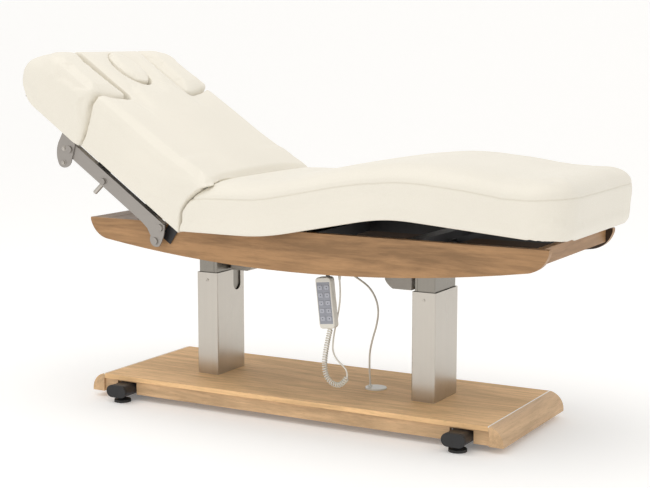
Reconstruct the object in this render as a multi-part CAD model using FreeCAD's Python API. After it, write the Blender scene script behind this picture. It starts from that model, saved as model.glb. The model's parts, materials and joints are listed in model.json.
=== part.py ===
import FreeCAD, Part

import math
import os

# Facial treatment bed, millimetres.  X runs from the head end (-) to the foot end (+), Y across the bed, Z up
# from the floor.  The upholstered sections are designed lying flat and then turned to the stored pose: back
# raised, thighs and legs bent.  Lengths called "u" are measured along a section from its lower end, and
# heights called "h" upwards from the lower edge of its padding.

V = FreeCAD.Vector

# ---- stored pose -----------------------------------------------------------------------------------------
BACK_REST = 34.6            # back section above level, degrees
BACK_MOST = 65.0            # highest back angle, degrees
THIGH_REST = 11.5           # thigh section above level, degrees
KNEE_REST = 16.0            # bend at the knee, degrees
ORIGIN_SHIFT = 13.0         # base centre from the bed's own middle, along X

# ---- base ------------------------------------------------------------------------------------------------
BOARD_LENGTH = 1498.0
BASE_WIDTH = 540.0
BOARD_TOP = 87.0
BOARD_THICK = 16.0
APRON_THICK = 16.0
APRON_INSET = 8.0
APRON_BOTTOM = 23.0
STRIP_WIDTH = 4.0
STRIP_DEPTH = 3.0
MOULDING_DEPTH = 53.0
MOULDING_BOTTOM = 22.0
FOOT_BAR_X = 656.0          # foot bar centre from the base centre
FOOT_BAR_WIDTH = 80.0
FOOT_BAR_HEIGHT = 42.0
FOOT_BAR_WALL = 3.0
FOOT_BAR_HALF = 318.0
CAP_LENGTH = 12.0
FOOT_BAR_BOTTOM = 22.0
NOTCH_CLEAR = 1.5
BASE_TUBE = 40.0
BASE_TUBE_Y = 112.0
BASE_TUBE_WALL = 2.5
PAD_RADIUS = 30.0
PAD_THICK = 9.0
PAD_CONE = 6.0
PAD_Y = 290.0
PAD_STEM = 6.0
PAD_STEM_TOP = 52.0
STEM_CLEAR = 0.05

# ---- lifting columns -------------------------------------------------------------------------------------
COLUMN_HEAD_X = -420.5
COLUMN_FOOT_X = 438.0
SLEEVE_X = 87.0
SLEEVE_Y = 180.0
SLEEVE_TOP = 458.0
SLEEVE_WALL = 3.0
INNER_X = 75.0
INNER_Y = 166.0
INNER_WALL = 3.0
INNER_BOTTOM = 160.0
INNER_TOP = 595.0
LIFT_DOWN = 70.0
GUIDE_HEIGHT = 24.0
GUIDE_CLEAR = 0.05
SCREW_DROP = 27.0
SCREW_RADIUS = 5.0
SPINDLE_RADIUS = 9.0
SPINDLE_CLEAR = 0.05
SPINDLE_TOP = 440.0
NECK_RADIUS = 23.0
NECK_Y = 40.0
NECK_Z = 480.0
NECK_CLEAR = 1.0
MOTOR_REACH = 147.0         # motor housing's far end from the column centre
MOTOR_HALF_Y = 45.0
MOTOR_BOTTOM = 461.0
MOTOR_GAP = 4.0             # housing from the sleeve's face
GROOVE_WIDTH = 3.0
GROOVE_DEPTH = 1.2
GROOVE_X = 26.0

# ---- upper frame -----------------------------------------------------------------------------------------
PANEL_OUTER = 311.0
PANEL_THICK = 25.0
PANEL_TOP = 663.0
PANEL_HEAD_TIP = -765.0
PANEL_FOOT_TIP = 954.0
PANEL_LOW = 528.0
END_BOARD_X = 905.0
END_BOARD_THICK = 25.0
END_BOARD_BOTTOM = 615.0
HEAD_BOARD_THICK = 18.0
HEAD_BOARD_SPLIT = -690.0
HEAD_BOARD_JOINT = 4.0
HEAD_BOARD_END = -587.0
RAIL_Y = 240.0
RAIL_WIDTH = 30.0
RAIL_HEIGHT = 40.0
RAIL_WALL = 2.5
RAIL_HEAD = -685.0
RAIL_FOOT = 880.0
CROSS_WIDTH = 50.0
PLATE_THICK = 10.0

# ---- upholstered sections, flat --------------------------------------------------------------------------
PAD_HALF = 369.0
PAD_BOTTOM = 637.0
PAD_SIDE = 125.0
PAD_HEIGHT = 175.0
SKIRT_IN = 326.0            # half-width of the hollow under the padding
BOARD_LOW = 666.0
PLY = 15.0
PLY_HALF = 300.0
SEAT_HEAD = -348.0
HINGE_Z = 650.0
BACK_HINGE_X = -347.0
THIGH_HINGE_X = -22.0
THIGH_LENGTH = 458.0
LEG_LENGTH = 580.0
LEG_FRAME_SHORT = 123.0     # from the padding's foot end to the frame's
FOOT_SKIRT = 51.0
FOOT_CORNER = 125.0
PAD_GAP = 4.0
KNEE_GAP = 6.0
FOLD_ANGLE = 13.0           # slope of the padding's faces at the thigh hinge, degrees
BACK_FOOT = -369.5          # lower end of the back padding
BACK_LENGTH = 470.0         # up to the arm pads
BACK_BOARD_START = 64.0
HEAD_LENGTH = 818.0
HEAD_HALF = 182.0
ARM_INNER = 188.0
ARM_FOOT = 476.0
ARM_END = 820.0
ARM_SKIRT = 13.0
ARM_BOARD = 14.0
CORNER_CLEAR = 4.0
PLUG_U = 668.0
PLUG_LONG = 97.0
PLUG_WIDE = 72.0
PLUG_CLEAR = 1.5
PLUG_LEDGE = 14.0

# ---- side rails and brackets of the back -----------------------------------------------------------------
SIDE_OUTER = 342.0
SIDE_THICK = 24.0
SIDE_WALL = 3.0
SIDE_TOP = -26.0
SIDE_BOTTOM = -74.0
SIDE_START = 50.0
SIDE_END = 535.0
LUG_THICK = 5.0
ARM_PIVOT = (515.0, -52.0)
ARM_BOLT = (505.0, -105.0)
LOW_BOLT = (56.0, -46.0)
LOWEST_BOLT = (47.0, -97.0)
BRACKET_THICK = 4.0
BRACKET_GAP = 1.0
BOLT_RADIUS = 6.0
BOLT_HEAD = 13.0
PIN_CLEAR = 0.06
LEVER_U = 336.0
LEVER_H = -58.0
LEVER_LEAN = 13.0
LEVER_RADIUS = 8.0
LEVER_LENGTH = 64.0
STRAP_THICK = 2.5
FRAME_TUBE_Y = 191.0

# ---- section frames and drives ---------------------------------------------------------------------------
SIDE_TUBE_Y = 273.0
SIDE_TUBE_WIDTH = 18.0
SIDE_TUBE_LOW = 640.0
TORQUE_RADIUS = 14.0
HINGE_PIN = 8.0
PIN_END = 224.5
LEVER_HALF = 14.0
LEVER_SLOT = 8.5
SLOT_NEAR = 52.0
SLOT_FAR = 88.0
LEVER_TIP = 98.0
DRIVE_Y = 125.0
DRIVE_DROP = 65.0           # drive centre line below the hinges
ROD_RADIUS = 9.0
ROD_CLEAR = 0.05
DRIVE_PIN = 6.0
DRIVE_HALF = 18.0
PROP_U = 364.0
PROP_REACH = 200.0
PROP_Y = 203.0
PROP_THICK = 8.0
ROLLER_RADIUS = 9.0

# ---- handset and leads -----------------------------------------------------------------------------------
CONTROL_X = 0.0
CONTROL_HEIGHT = 60.0
CASE_X = 152.5
CASE_Z = 423.0
CASE_FRONT = -250.0
CASE_WIDTH = 58.0
CASE_HEIGHT = 172.0
CASE_DEPTH = 28.0
CASE_LEAN = 6.3
CASE_CORNER = 12.0
KEYPAD_WIDTH = 50.0
KEYPAD_HEIGHT = 140.0
KEY_PITCH_X = 25.0
KEY_PITCH_Z = 26.0
KEY_WIDTH = 17.0
KEY_HEIGHT = 16.0
KEY_PROUD = 1.6
KEY_CLEAR = 0.4
KEYS = ("back_raise", "back_lower", "legs_raise", "legs_lower", "bed_raise", "bed_lower",
        "sit_up", "lie_flat", "memory_one", "memory_two")
COIL_RADIUS = 9.0
LEAD_RADIUS = 2.8
CABLE_RADIUS = 3.3
COIL_ROUTE = [(165, -236, 333), (157, -236, 300), (150, -236, 264), (144, -236, 226), (145, -236, 190),
              (158, -236, 161), (185, -236, 146), (213, -236, 152), (230, -236, 178)]
LEAD_ROUTE = [(230, -236, 178), (229, -233, 198), (210, -229, 214), (185, -226, 230), (168, -223, 256),
              (167, -219, 290), (172, -215, 330), (181, -213, 372), (189, -213, 416), (193, -215, 462),
              (191, -218, 500)]
END_GAP = 0.6               # between the cable's end and the collar of its cover plate
CABLE_ROUTE = [(82, 0, 500), (108, 1, 487), (144, 3, 468), (186, 5, 443), (213, 6, 403), (222, 7, 358),
               (214, 7, 308), (199, 7, 262), (188, 7, 216), (186, 8, 172), (188, 8, 134), (190, 8, 99)]


# ---- helpers ---------------------------------------------------------------------------------------------
def box(x0, x1, y0, y1, z0, z1):
    """A block between six planes."""
    return Part.makeBox(x1 - x0, y1 - y0, z1 - z0, V(x0, y0, z0))


def tube_x(x0, x1, y, z0, z1, width, wall):
    """A rectangular tube along X."""
    outer = box(x0, x1, y - width / 2, y + width / 2, z0, z1)
    inner = box(x0 - 1, x1 + 1, y - width / 2 + wall, y + width / 2 - wall, z0 + wall, z1 - wall)
    return outer.cut(inner)


def rod_y(x, z, radius, y0, y1):
    """A round bar along Y."""
    return Part.makeCylinder(radius, y1 - y0, V(x, y0, z), V(0, 1, 0))


def rod_x(x0, x1, y, z, radius):
    """A round bar along X."""
    return Part.makeCylinder(radius, x1 - x0, V(x0, y, z), V(1, 0, 0))


def rod_z(x, y, radius, z0, z1):
    """A round bar along Z."""
    return Part.makeCylinder(radius, z1 - z0, V(x, y, z0))


def face_xz(start, *moves):
    """A flat face in the XZ plane: a move of one point is a line, of two points an arc."""
    edges = []
    here = V(start[0], 0, start[1])
    first = here
    for move in moves:
        points = [V(x, 0, z) for x, z in move]
        if len(points) == 1:
            edges.append(Part.LineSegment(here, points[0]).toShape())
        else:
            edges.append(Part.Arc(here, points[0], points[1]).toShape())
        here = points[-1]
    if here.distanceToPoint(first) > 1e-6:
        edges.append(Part.LineSegment(here, first).toShape())
    return Part.Face(Part.Wire(edges))


def plate_y(face, y0, y1):
    """An XZ face made into a plate between two Y planes."""
    plate = face.extrude(V(0, y1 - y0, 0))
    plate.translate(V(0, y0, 0))
    return plate


def turned(shape, x, z, angle):
    """A copy turned about a line along Y: a positive angle lifts the foot end."""
    copy = shape.copy()
    copy.rotate(V(x, 0, z), V(0, -1, 0), angle)
    return copy


def mirrored(shape):
    """A copy on the other side of the bed."""
    return shape.mirror(V(0, 0, 0), V(0, 1, 0))


def both_sides(shape):
    """The shape and its mirror image as one group."""
    return Part.makeCompound([shape, mirrored(shape)])


def group(*shapes):
    """Several solids kept together in one node."""
    return Part.makeCompound(list(shapes))


def flat_u(u, h):
    """X and Z, lying flat, of a point u along the back section and h above its lower edge."""
    return (BACK_FOOT - u, PAD_BOTTOM + h)


def as_back(shape):
    """The back section's flat shape turned to its stored angle."""
    return turned(shape, BACK_HINGE_X, HINGE_Z, -BACK_REST)


def as_thigh(shape):
    """The thigh section's flat shape turned to its stored angle."""
    return turned(shape, THIGH_HINGE_X, HINGE_Z, THIGH_REST)


def as_leg(shape):
    """The leg section's flat shape bent at the knee and carried by the thighs."""
    knee = THIGH_HINGE_X + THIGH_LENGTH
    return as_thigh(turned(shape, knee, HINGE_Z, -KNEE_REST))


def column_places():
    """Each column's centre and the direction its motor faces."""
    return ((COLUMN_HEAD_X, 1), (COLUMN_FOOT_X, -1))


def facing(shape, x, side):
    """A column piece drawn for a motor towards +X, moved to its column and turned to face its motor."""
    copy = shape.copy()
    if side < 0:
        copy.rotate(V(0, 0, 0), V(0, 0, 1), 180)
    copy.translate(V(x, 0, 0))
    return copy


# ---- base ------------------------------------------------------------------------------------------------
def base_board():
    half = BOARD_LENGTH / 2
    board = box(-half, half, -BASE_WIDTH / 2, BASE_WIDTH / 2, BOARD_TOP - BOARD_THICK, BOARD_TOP)
    for x, _ in column_places():
        board = board.cut(rod_z(x, 0, SPINDLE_RADIUS + NECK_CLEAR, BOARD_TOP - 2 * BOARD_THICK, BOARD_TOP + 1))
    x, y, _ = CABLE_ROUTE[-1]
    return board.cut(rod_z(x, y, 2 * CABLE_RADIUS, BOARD_TOP - 2 * BOARD_THICK, BOARD_TOP + 1))


def base_aprons():
    half = BOARD_LENGTH / 2 + STRIP_WIDTH
    outer = BASE_WIDTH / 2 - APRON_INSET
    apron = box(-half, half, -outer, -outer + APRON_THICK, APRON_BOTTOM, BOARD_TOP - BOARD_THICK)
    for side in (-1, 1):
        reach = FOOT_BAR_WIDTH / 2 + NOTCH_CLEAR
        top = FOOT_BAR_BOTTOM + FOOT_BAR_HEIGHT + NOTCH_CLEAR
        notch = box(side * FOOT_BAR_X - reach, side * FOOT_BAR_X + reach, -outer - 1, -outer + APRON_THICK + 1,
                    APRON_BOTTOM - 1, top)
        apron = apron.cut(notch)
    return both_sides(apron)


def inlay_strips():
    half = BOARD_LENGTH / 2
    strip = box(half, half + STRIP_WIDTH, -BASE_WIDTH / 2, BASE_WIDTH / 2, BOARD_TOP - STRIP_DEPTH, BOARD_TOP)
    return group(strip, strip.mirror(V(0, 0, 0), V(1, 0, 0)))


def base_mouldings():
    start = BOARD_LENGTH / 2 + STRIP_WIDTH
    end = BOARD_LENGTH / 2 + MOULDING_DEPTH
    rise = BOARD_TOP - MOULDING_BOTTOM
    depth = end - start
    bulge = (start + depth * math.sin(math.pi / 4), MOULDING_BOTTOM + rise * math.cos(math.pi / 4))
    lip = start - STRIP_WIDTH
    under = BOARD_TOP - STRIP_DEPTH
    section = face_xz((start, MOULDING_BOTTOM), [(start, BOARD_TOP - BOARD_THICK)],
                      [(lip, BOARD_TOP - BOARD_THICK)], [(lip, under)], [(start, under)], [(start, BOARD_TOP)],
                      [bulge, (end, MOULDING_BOTTOM)])
    moulding = plate_y(section, -BASE_WIDTH / 2, BASE_WIDTH / 2)
    return group(moulding, moulding.mirror(V(0, 0, 0), V(1, 0, 0)))


def base_steelwork():
    end = FOOT_BAR_X - FOOT_BAR_WIDTH / 2
    low = BOARD_TOP - BOARD_THICK - 7.0 - BASE_TUBE
    tube = tube_x(-end, end, BASE_TUBE_Y, low, low + BASE_TUBE, BASE_TUBE, BASE_TUBE_WALL)
    plates = []
    for x, _ in column_places():
        plate = box(x - SLEEVE_X, x + SLEEVE_X, -BASE_TUBE_Y - BASE_TUBE / 2, BASE_TUBE_Y + BASE_TUBE / 2,
                    low + BASE_TUBE, BOARD_TOP - BOARD_THICK)
        plates.append(plate)
    return group(tube, mirrored(tube), *plates)


def flat_oval(x, width, height, low, y0, y1):
    """A bar along Y with straight top and bottom and round sides."""
    radius = height / 2
    reach = width / 2 - radius
    section = face_xz((x - reach, low), [(x + reach, low)],
                      [(x + width / 2, low + radius), (x + reach, low + height)], [(x - reach, low + height)],
                      [(x - width / 2, low + radius), (x - reach, low)])
    return plate_y(section, y0, y1)


def foot_bars():
    bars = []
    for side in (-1, 1):
        bar = flat_oval(side * FOOT_BAR_X, FOOT_BAR_WIDTH, FOOT_BAR_HEIGHT, FOOT_BAR_BOTTOM, -FOOT_BAR_HALF,
                        FOOT_BAR_HALF)
        wall = FOOT_BAR_WALL
        hollow = flat_oval(side * FOOT_BAR_X, FOOT_BAR_WIDTH - 2 * wall, FOOT_BAR_HEIGHT - 2 * wall,
                           FOOT_BAR_BOTTOM + wall, -FOOT_BAR_HALF - 1, FOOT_BAR_HALF + 1)
        bar = bar.cut(hollow)
        for y in (-PAD_Y, PAD_Y):
            bar = bar.cut(rod_z(side * FOOT_BAR_X, y, PAD_STEM + STEM_CLEAR, 0, PAD_STEM_TOP))
        bars.append(bar)
    return group(*bars)


def foot_bar_caps():
    caps = []
    for side in (-1, 1):
        cap = flat_oval(side * FOOT_BAR_X, FOOT_BAR_WIDTH + 2, FOOT_BAR_HEIGHT + 2, FOOT_BAR_BOTTOM - 1,
                        FOOT_BAR_HALF, FOOT_BAR_HALF + CAP_LENGTH)
        caps.append(cap)
        caps.append(mirrored(cap))
    return group(*caps)


def levelling_foot(side_x, side_y):
    x = side_x * FOOT_BAR_X
    y = side_y * PAD_Y
    disc = rod_z(x, y, PAD_RADIUS, 0, PAD_THICK)
    cone = Part.makeCone(PAD_RADIUS - 6, 2 * PAD_STEM, PAD_CONE, V(x, y, PAD_THICK))
    stem = rod_z(x, y, PAD_STEM, PAD_THICK, PAD_STEM_TOP)
    return disc.fuse(cone).fuse(stem).removeSplitter()


# ---- columns ---------------------------------------------------------------------------------------------
def round_tube(size_x, size_y, wall, z0, z1, corner):
    """An upright rectangular tube with rounded corners, centred on the Z axis."""
    def bar(dx, dy, radius):
        block = box(-dx / 2, dx / 2, -dy / 2, dy / 2, z0, z1)
        uprights = [e for e in block.Edges if abs(e.Vertexes[0].Z - e.Vertexes[1].Z) > 1]
        return block.makeFillet(radius, uprights)
    hollow = bar(size_x - 2 * wall, size_y - 2 * wall, max(corner - wall, 1.0))
    return bar(size_x, size_y, corner).cut(hollow)


def sleeve_notch():
    """The space that the motor's neck drops into, in the sleeve's +X side."""
    radius = NECK_RADIUS + NECK_CLEAR
    bottom = NECK_Z - LIFT_DOWN - 5.0
    face = SLEEVE_X / 2
    round_end = rod_x(face - 20, face + 5, NECK_Y, bottom, radius)
    slot = box(face - 20, face + 5, NECK_Y - radius, NECK_Y + radius, bottom, SLEEVE_TOP + 1)
    return round_end.fuse(slot)


def column_sleeves():
    sleeve = round_tube(SLEEVE_X, SLEEVE_Y, SLEEVE_WALL, BOARD_TOP, SLEEVE_TOP, 5.0).cut(sleeve_notch())
    screw_face = SLEEVE_Y / 2
    screw = rod_y(0, SLEEVE_TOP - SCREW_DROP, SCREW_RADIUS, screw_face, screw_face + 2.5)
    socket = rod_y(0, SLEEVE_TOP - SCREW_DROP, SCREW_RADIUS / 2, screw_face + 1.2, screw_face + 3)
    screw = screw.cut(socket)
    pieces = []
    for x, side in column_places():
        pieces.append(facing(sleeve, x, side))
        pieces.append(facing(screw, x, side))
        pieces.append(facing(mirrored(screw), x, side))
    return group(*pieces)


def column_guides():
    top = SLEEVE_TOP - 3.0
    outer = box(-SLEEVE_X / 2 + SLEEVE_WALL, SLEEVE_X / 2 - SLEEVE_WALL, -SLEEVE_Y / 2 + SLEEVE_WALL,
                SLEEVE_Y / 2 - SLEEVE_WALL, top - GUIDE_HEIGHT, top)
    uprights = [e for e in outer.Edges if abs(e.Vertexes[0].Z - e.Vertexes[1].Z) > 1]
    outer = outer.makeFillet(2.0, uprights)
    half_x = INNER_X / 2 + GUIDE_CLEAR
    half_y = INNER_Y / 2 + GUIDE_CLEAR
    inner = box(-half_x, half_x, -half_y, half_y, top - GUIDE_HEIGHT - 1, top + 1)
    guide = outer.cut(inner).cut(sleeve_notch())
    return group(*[facing(guide, x, side) for x, side in column_places()])


def lift_spindles():
    return group(*[rod_z(x, 0, SPINDLE_RADIUS, BOARD_TOP - BOARD_THICK, SPINDLE_TOP) for x, _ in column_places()])


def inner_columns():
    column = round_tube(INNER_X, INNER_Y, INNER_WALL, INNER_BOTTOM, INNER_TOP, 4.0)
    for side_y in (-1, 1):
        face = side_y * INNER_Y / 2
        groove = box(GROOVE_X - GROOVE_WIDTH / 2, GROOVE_X + GROOVE_WIDTH / 2, min(face, face - side_y * GROOVE_DEPTH),
                     max(face, face - side_y * GROOVE_DEPTH), INNER_BOTTOM - 1, INNER_TOP + 1)
        column = column.cut(groove)
    nut_x = INNER_X / 2 - INNER_WALL
    nut_y = INNER_Y / 2 - INNER_WALL
    nut = box(-nut_x, nut_x, -nut_y, nut_y, INNER_BOTTOM + 4, INNER_BOTTOM + 24)
    uprights = [e for e in nut.Edges if abs(e.Vertexes[0].Z - e.Vertexes[1].Z) > 1]
    nut = nut.makeFillet(1.5, uprights)
    nut = nut.cut(rod_z(0, 0, SPINDLE_RADIUS + SPINDLE_CLEAR, INNER_BOTTOM, INNER_BOTTOM + 30))
    pieces = []
    for x, side in column_places():
        pieces.append(facing(column, x, side))
        pieces.append(facing(nut, x, side))
    return group(*pieces)


def column_motors():
    near = SLEEVE_X / 2 + MOTOR_GAP
    chamfer = 30.0
    far = MOTOR_REACH
    top = INNER_TOP
    middle = (far - chamfer * 0.42, MOTOR_BOTTOM + chamfer * 0.42)
    section = face_xz((near, top), [(near, MOTOR_BOTTOM)], [(far - chamfer, MOTOR_BOTTOM)],
                      [middle, (far, MOTOR_BOTTOM + chamfer)], [(far, top)])
    housing = plate_y(section, NECK_Y - MOTOR_HALF_Y, NECK_Y + MOTOR_HALF_Y)
    neck = rod_x(INNER_X / 2, near, NECK_Y, NECK_Z, NECK_RADIUS)
    motor = housing.fuse(neck).removeSplitter()
    return group(*[facing(motor, x, side) for x, side in column_places()])


# ---- upper frame -----------------------------------------------------------------------------------------
def side_panel(side):
    low_x = (PANEL_HEAD_TIP + PANEL_FOOT_TIP) / 2 - 10.0
    outline = face_xz((PANEL_HEAD_TIP, PANEL_TOP), [(PANEL_HEAD_TIP, PANEL_TOP - 8)],
                      [(PANEL_HEAD_TIP + 21, PANEL_TOP - 47), (PANEL_HEAD_TIP + 66, PANEL_TOP - 73)],
                      [(low_x, PANEL_LOW), (PANEL_FOOT_TIP - 76, PANEL_TOP - 76)],
                      [(PANEL_FOOT_TIP - 19, PANEL_TOP - 48), (PANEL_FOOT_TIP, PANEL_TOP - 12)],
                      [(PANEL_FOOT_TIP, PANEL_TOP)])
    panel = plate_y(outline, -PANEL_OUTER, -PANEL_OUTER + PANEL_THICK)
    return mirrored(panel) if side > 0 else panel


def head_boards():
    half = PANEL_OUTER - PANEL_THICK
    low = PANEL_TOP - HEAD_BOARD_THICK
    tip = box(PANEL_HEAD_TIP + 2, HEAD_BOARD_SPLIT - HEAD_BOARD_JOINT / 2, -half, half, low, PANEL_TOP)
    shelf = box(HEAD_BOARD_SPLIT + HEAD_BOARD_JOINT / 2, HEAD_BOARD_END, -half, half, low, PANEL_TOP)
    return group(tip, shelf)


def foot_end_board():
    half = PANEL_OUTER - PANEL_THICK
    return box(END_BOARD_X, END_BOARD_X + END_BOARD_THICK, -half, half, END_BOARD_BOTTOM, PANEL_TOP)


def rail_low():
    return PANEL_TOP - HEAD_BOARD_THICK - RAIL_HEIGHT


def frame_rails():
    low = rail_low()
    rail = tube_x(RAIL_HEAD, RAIL_FOOT, RAIL_Y, low, low + RAIL_HEIGHT, RAIL_WIDTH, RAIL_WALL)
    return both_sides(rail)


def seat_frame():
    """Cross tubes, column head plates, seat supports, seat board and hinge ears."""
    low = rail_low()
    top = low + RAIL_HEIGHT
    inner = RAIL_Y - RAIL_WIDTH / 2
    pieces = []
    for x in (COLUMN_HEAD_X, CONTROL_X + 50, COLUMN_FOOT_X):
        outer = box(x - CROSS_WIDTH / 2, x + CROSS_WIDTH / 2, -inner, inner, low, top)
        hollow = box(x - CROSS_WIDTH / 2 + RAIL_WALL, x + CROSS_WIDTH / 2 - RAIL_WALL, -inner - 1, inner + 1,
                     low + RAIL_WALL, top - RAIL_WALL)
        pieces.append(outer.cut(hollow))
    for x, _ in column_places():
        pieces.append(box(x - 70, x + 70, -105, 105, low - PLATE_THICK, low))
    reach = RAIL_Y + RAIL_WIDTH / 2
    for x in (SEAT_HEAD + 45, THIGH_HINGE_X - 60):
        pieces.append(box(x - 15, x + 15, -reach, reach, top, BOARD_LOW))
    pieces.append(box(SEAT_HEAD + 10, THIGH_HINGE_X - 25, -PLY_HALF, PLY_HALF, BOARD_LOW, BOARD_LOW + PLY))
    for x in (BACK_HINGE_X, THIGH_HINGE_X):
        ear = box(x - 16, x + 16, inner - 8, inner, low + 4, BOARD_LOW - 1)
        ear = ear.cut(rod_y(x, HINGE_Z, HINGE_PIN + PIN_CLEAR, 0, 400))
        pieces.append(ear)
        pieces.append(mirrored(ear))
    return group(*pieces)


def linear_drives():
    """The two fixed actuator bodies: the back's on the far side, the thighs' on the near side."""
    z = HINGE_Z - DRIVE_DROP
    pieces = []
    back_span = (DRIVE_Y, BACK_HINGE_X + 117, CONTROL_X + 65, CONTROL_X + 50)
    leg_span = (-DRIVE_Y, THIGH_HINGE_X + 122, COLUMN_FOOT_X - 8, COLUMN_FOOT_X - 16)
    for y, x0, x1, strap_x in (back_span, leg_span):
        case = box(x0, x1, y - DRIVE_HALF, y + DRIVE_HALF, z - DRIVE_HALF, z + DRIVE_HALF)
        case = case.cut(rod_x(x0 - 1, x1, y, z, ROD_RADIUS + ROD_CLEAR))
        case = case.cut(rod_x(x0 + 20, x1 - 10, y, z, ROD_RADIUS + 3))
        plug = rod_x(x1 - 10, x1, y, z, ROD_RADIUS + ROD_CLEAR)
        outward = 1 if y > 0 else -1
        y0 = y + outward * DRIVE_HALF
        motor = rod_y((x0 + x1) / 2, z, DRIVE_HALF, min(y0, y0 + outward * 46), max(y0, y0 + outward * 46))
        strap = box(strap_x - 8, strap_x + 8, y - DRIVE_HALF, y + DRIVE_HALF, z + DRIVE_HALF, rail_low())
        pieces += [case.fuse(plug).removeSplitter(), motor, strap]
    return group(*pieces)


def drive_rod(x, y, outward, hidden):
    """A push rod with its fork and cross pin at the hinge lever below x; outward is towards its body."""
    z = HINGE_Z - DRIVE_DROP
    fork_out = LEVER_HALF / 2 + 6.5
    cheek = box(-13, 46, fork_out - 5, fork_out, -12, 12)
    bridge = box(36, 46, -fork_out, fork_out, -12, 12)
    pin = rod_y(0, 0, DRIVE_PIN, -fork_out, fork_out)
    bar = rod_x(46, 46 + hidden, 0, 0, ROD_RADIUS)
    rod = cheek.fuse(mirrored(cheek)).fuse(bridge).fuse(pin).fuse(bar).removeSplitter()
    if outward < 0:
        rod.rotate(V(0, 0, 0), V(0, 0, 1), 180)
    rod.translate(V(x, y, z))
    return rod


def hinge_lever(x, y):
    """A slotted lever hanging from a hinge tube."""
    half = 5.0
    plate = box(x - LEVER_HALF, x + LEVER_HALF, y - half, y + half, HINGE_Z - LEVER_TIP, HINGE_Z)
    slot = box(x - LEVER_SLOT, x + LEVER_SLOT, y - half - 1, y + half + 1, HINGE_Z - SLOT_FAR, HINGE_Z - SLOT_NEAR)
    return plate.cut(slot)


# ---- upholstery ------------------------------------------------------------------------------------------
def pad_section(x0, x1):
    """Padding between two X planes, with its hollow underside."""
    def point(y, h):
        return V(x0, y, PAD_BOTTOM + h)
    shoulder = PAD_HALF - 62.0
    high = PAD_HEIGHT - 6.0
    curve = (PAD_HALF - 17.0, PAD_SIDE + 32.0)
    edges = [Part.LineSegment(point(-PAD_HALF, 0), point(-PAD_HALF, PAD_SIDE)),
             Part.Arc(point(-PAD_HALF, PAD_SIDE), point(-curve[0], curve[1]), point(-shoulder, high)),
             Part.Arc(point(-shoulder, high), point(0, PAD_HEIGHT), point(shoulder, high)),
             Part.Arc(point(shoulder, high), point(curve[0], curve[1]), point(PAD_HALF, PAD_SIDE)),
             Part.LineSegment(point(PAD_HALF, PAD_SIDE), point(PAD_HALF, 0)),
             Part.LineSegment(point(PAD_HALF, 0), point(-PAD_HALF, 0))]
    return Part.Face(Part.Wire([e.toShape() for e in edges])).extrude(V(x1 - x0, 0, 0))


def hollow(x0, x1, half=SKIRT_IN):
    """The hollow under a section, up to the top of its board."""
    return box(x0, x1, -half, half, PAD_BOTTOM - 20, BOARD_LOW + PLY)


def seat_front(grow=0.0):
    """The seat's side view towards the back section, with its rounded upper edge."""
    x = SEAT_HEAD - grow
    top = PAD_BOTTOM + PAD_HEIGHT + 10
    return face_xz((x, PAD_BOTTOM - 30), [(x, PAD_BOTTOM + 40)],
                   [(x + 22, PAD_BOTTOM + 119 + grow), (x + 84, top - 5 + grow)], [(x + 140, top + grow)],
                   [(THIGH_HINGE_X + 60, top + grow)], [(THIGH_HINGE_X + 60, PAD_BOTTOM - 30)])


def fold_block(x, side):
    """What is cut from padding beside the thigh hinge so that it can fold."""
    rise = PAD_HEIGHT + 40
    lean = rise * math.tan(math.radians(FOLD_ANGLE))
    face = face_xz((x, PAD_BOTTOM - 30), [(x, HINGE_Z)], [(x + side * lean, HINGE_Z + rise)],
                   [(x - side * 90, HINGE_Z + rise)], [(x - side * 90, PAD_BOTTOM - 30)])
    return plate_y(face, -PAD_HALF - 5, PAD_HALF + 5)


def seat_pad():
    end = THIGH_HINGE_X - PAD_GAP
    pad = pad_section(SEAT_HEAD, end)
    pad = pad.common(plate_y(seat_front(), -PAD_HALF - 5, PAD_HALF + 5))
    pad = pad.cut(fold_block(end, -1))
    return pad.cut(hollow(SEAT_HEAD - 5, end + 5))


def thigh_pad():
    start = THIGH_HINGE_X + PAD_GAP
    end = THIGH_HINGE_X + THIGH_LENGTH - KNEE_GAP
    pad = pad_section(start, end).cut(fold_block(start, 1)).cut(hollow(start - 5, end + 5))
    return as_thigh(pad)


def leg_pad():
    start = THIGH_HINGE_X + THIGH_LENGTH + KNEE_GAP
    end = THIGH_HINGE_X + THIGH_LENGTH + LEG_LENGTH
    pad = pad_section(start, end)
    corner = box(end - FOOT_CORNER, end + 5, PAD_HALF - FOOT_CORNER, PAD_HALF + 5, PAD_BOTTOM - 5,
                 PAD_BOTTOM + PAD_HEIGHT + 5)
    corner = corner.cut(rod_z(end - FOOT_CORNER, PAD_HALF - FOOT_CORNER, FOOT_CORNER, 0, 2000))
    pad = pad.cut(corner).cut(mirrored(corner))
    edge = face_xz((end - 45, PAD_BOTTOM + PAD_HEIGHT + 9), [(end - 12, PAD_BOTTOM + PAD_SIDE + 38),
                                                            (end + 1, PAD_BOTTOM + PAD_SIDE)],
                   [(end + 40, PAD_BOTTOM + PAD_SIDE)], [(end + 40, PAD_BOTTOM + PAD_HEIGHT + 9)])
    pad = pad.cut(plate_y(edge, -PAD_HALF - 5, PAD_HALF + 5))
    return as_leg(pad.cut(hollow(start - 5, end - FOOT_SKIRT)))


def oval(u, long_half, wide_half, z0, z1):
    """An upright oval bar centred u along the back section, lying flat."""
    ring = Part.Ellipse(V(BACK_FOOT - u, 0, z0), long_half, wide_half).toShape()
    return Part.Face(Part.Wire([ring])).extrude(V(0, 0, z1 - z0))


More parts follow.
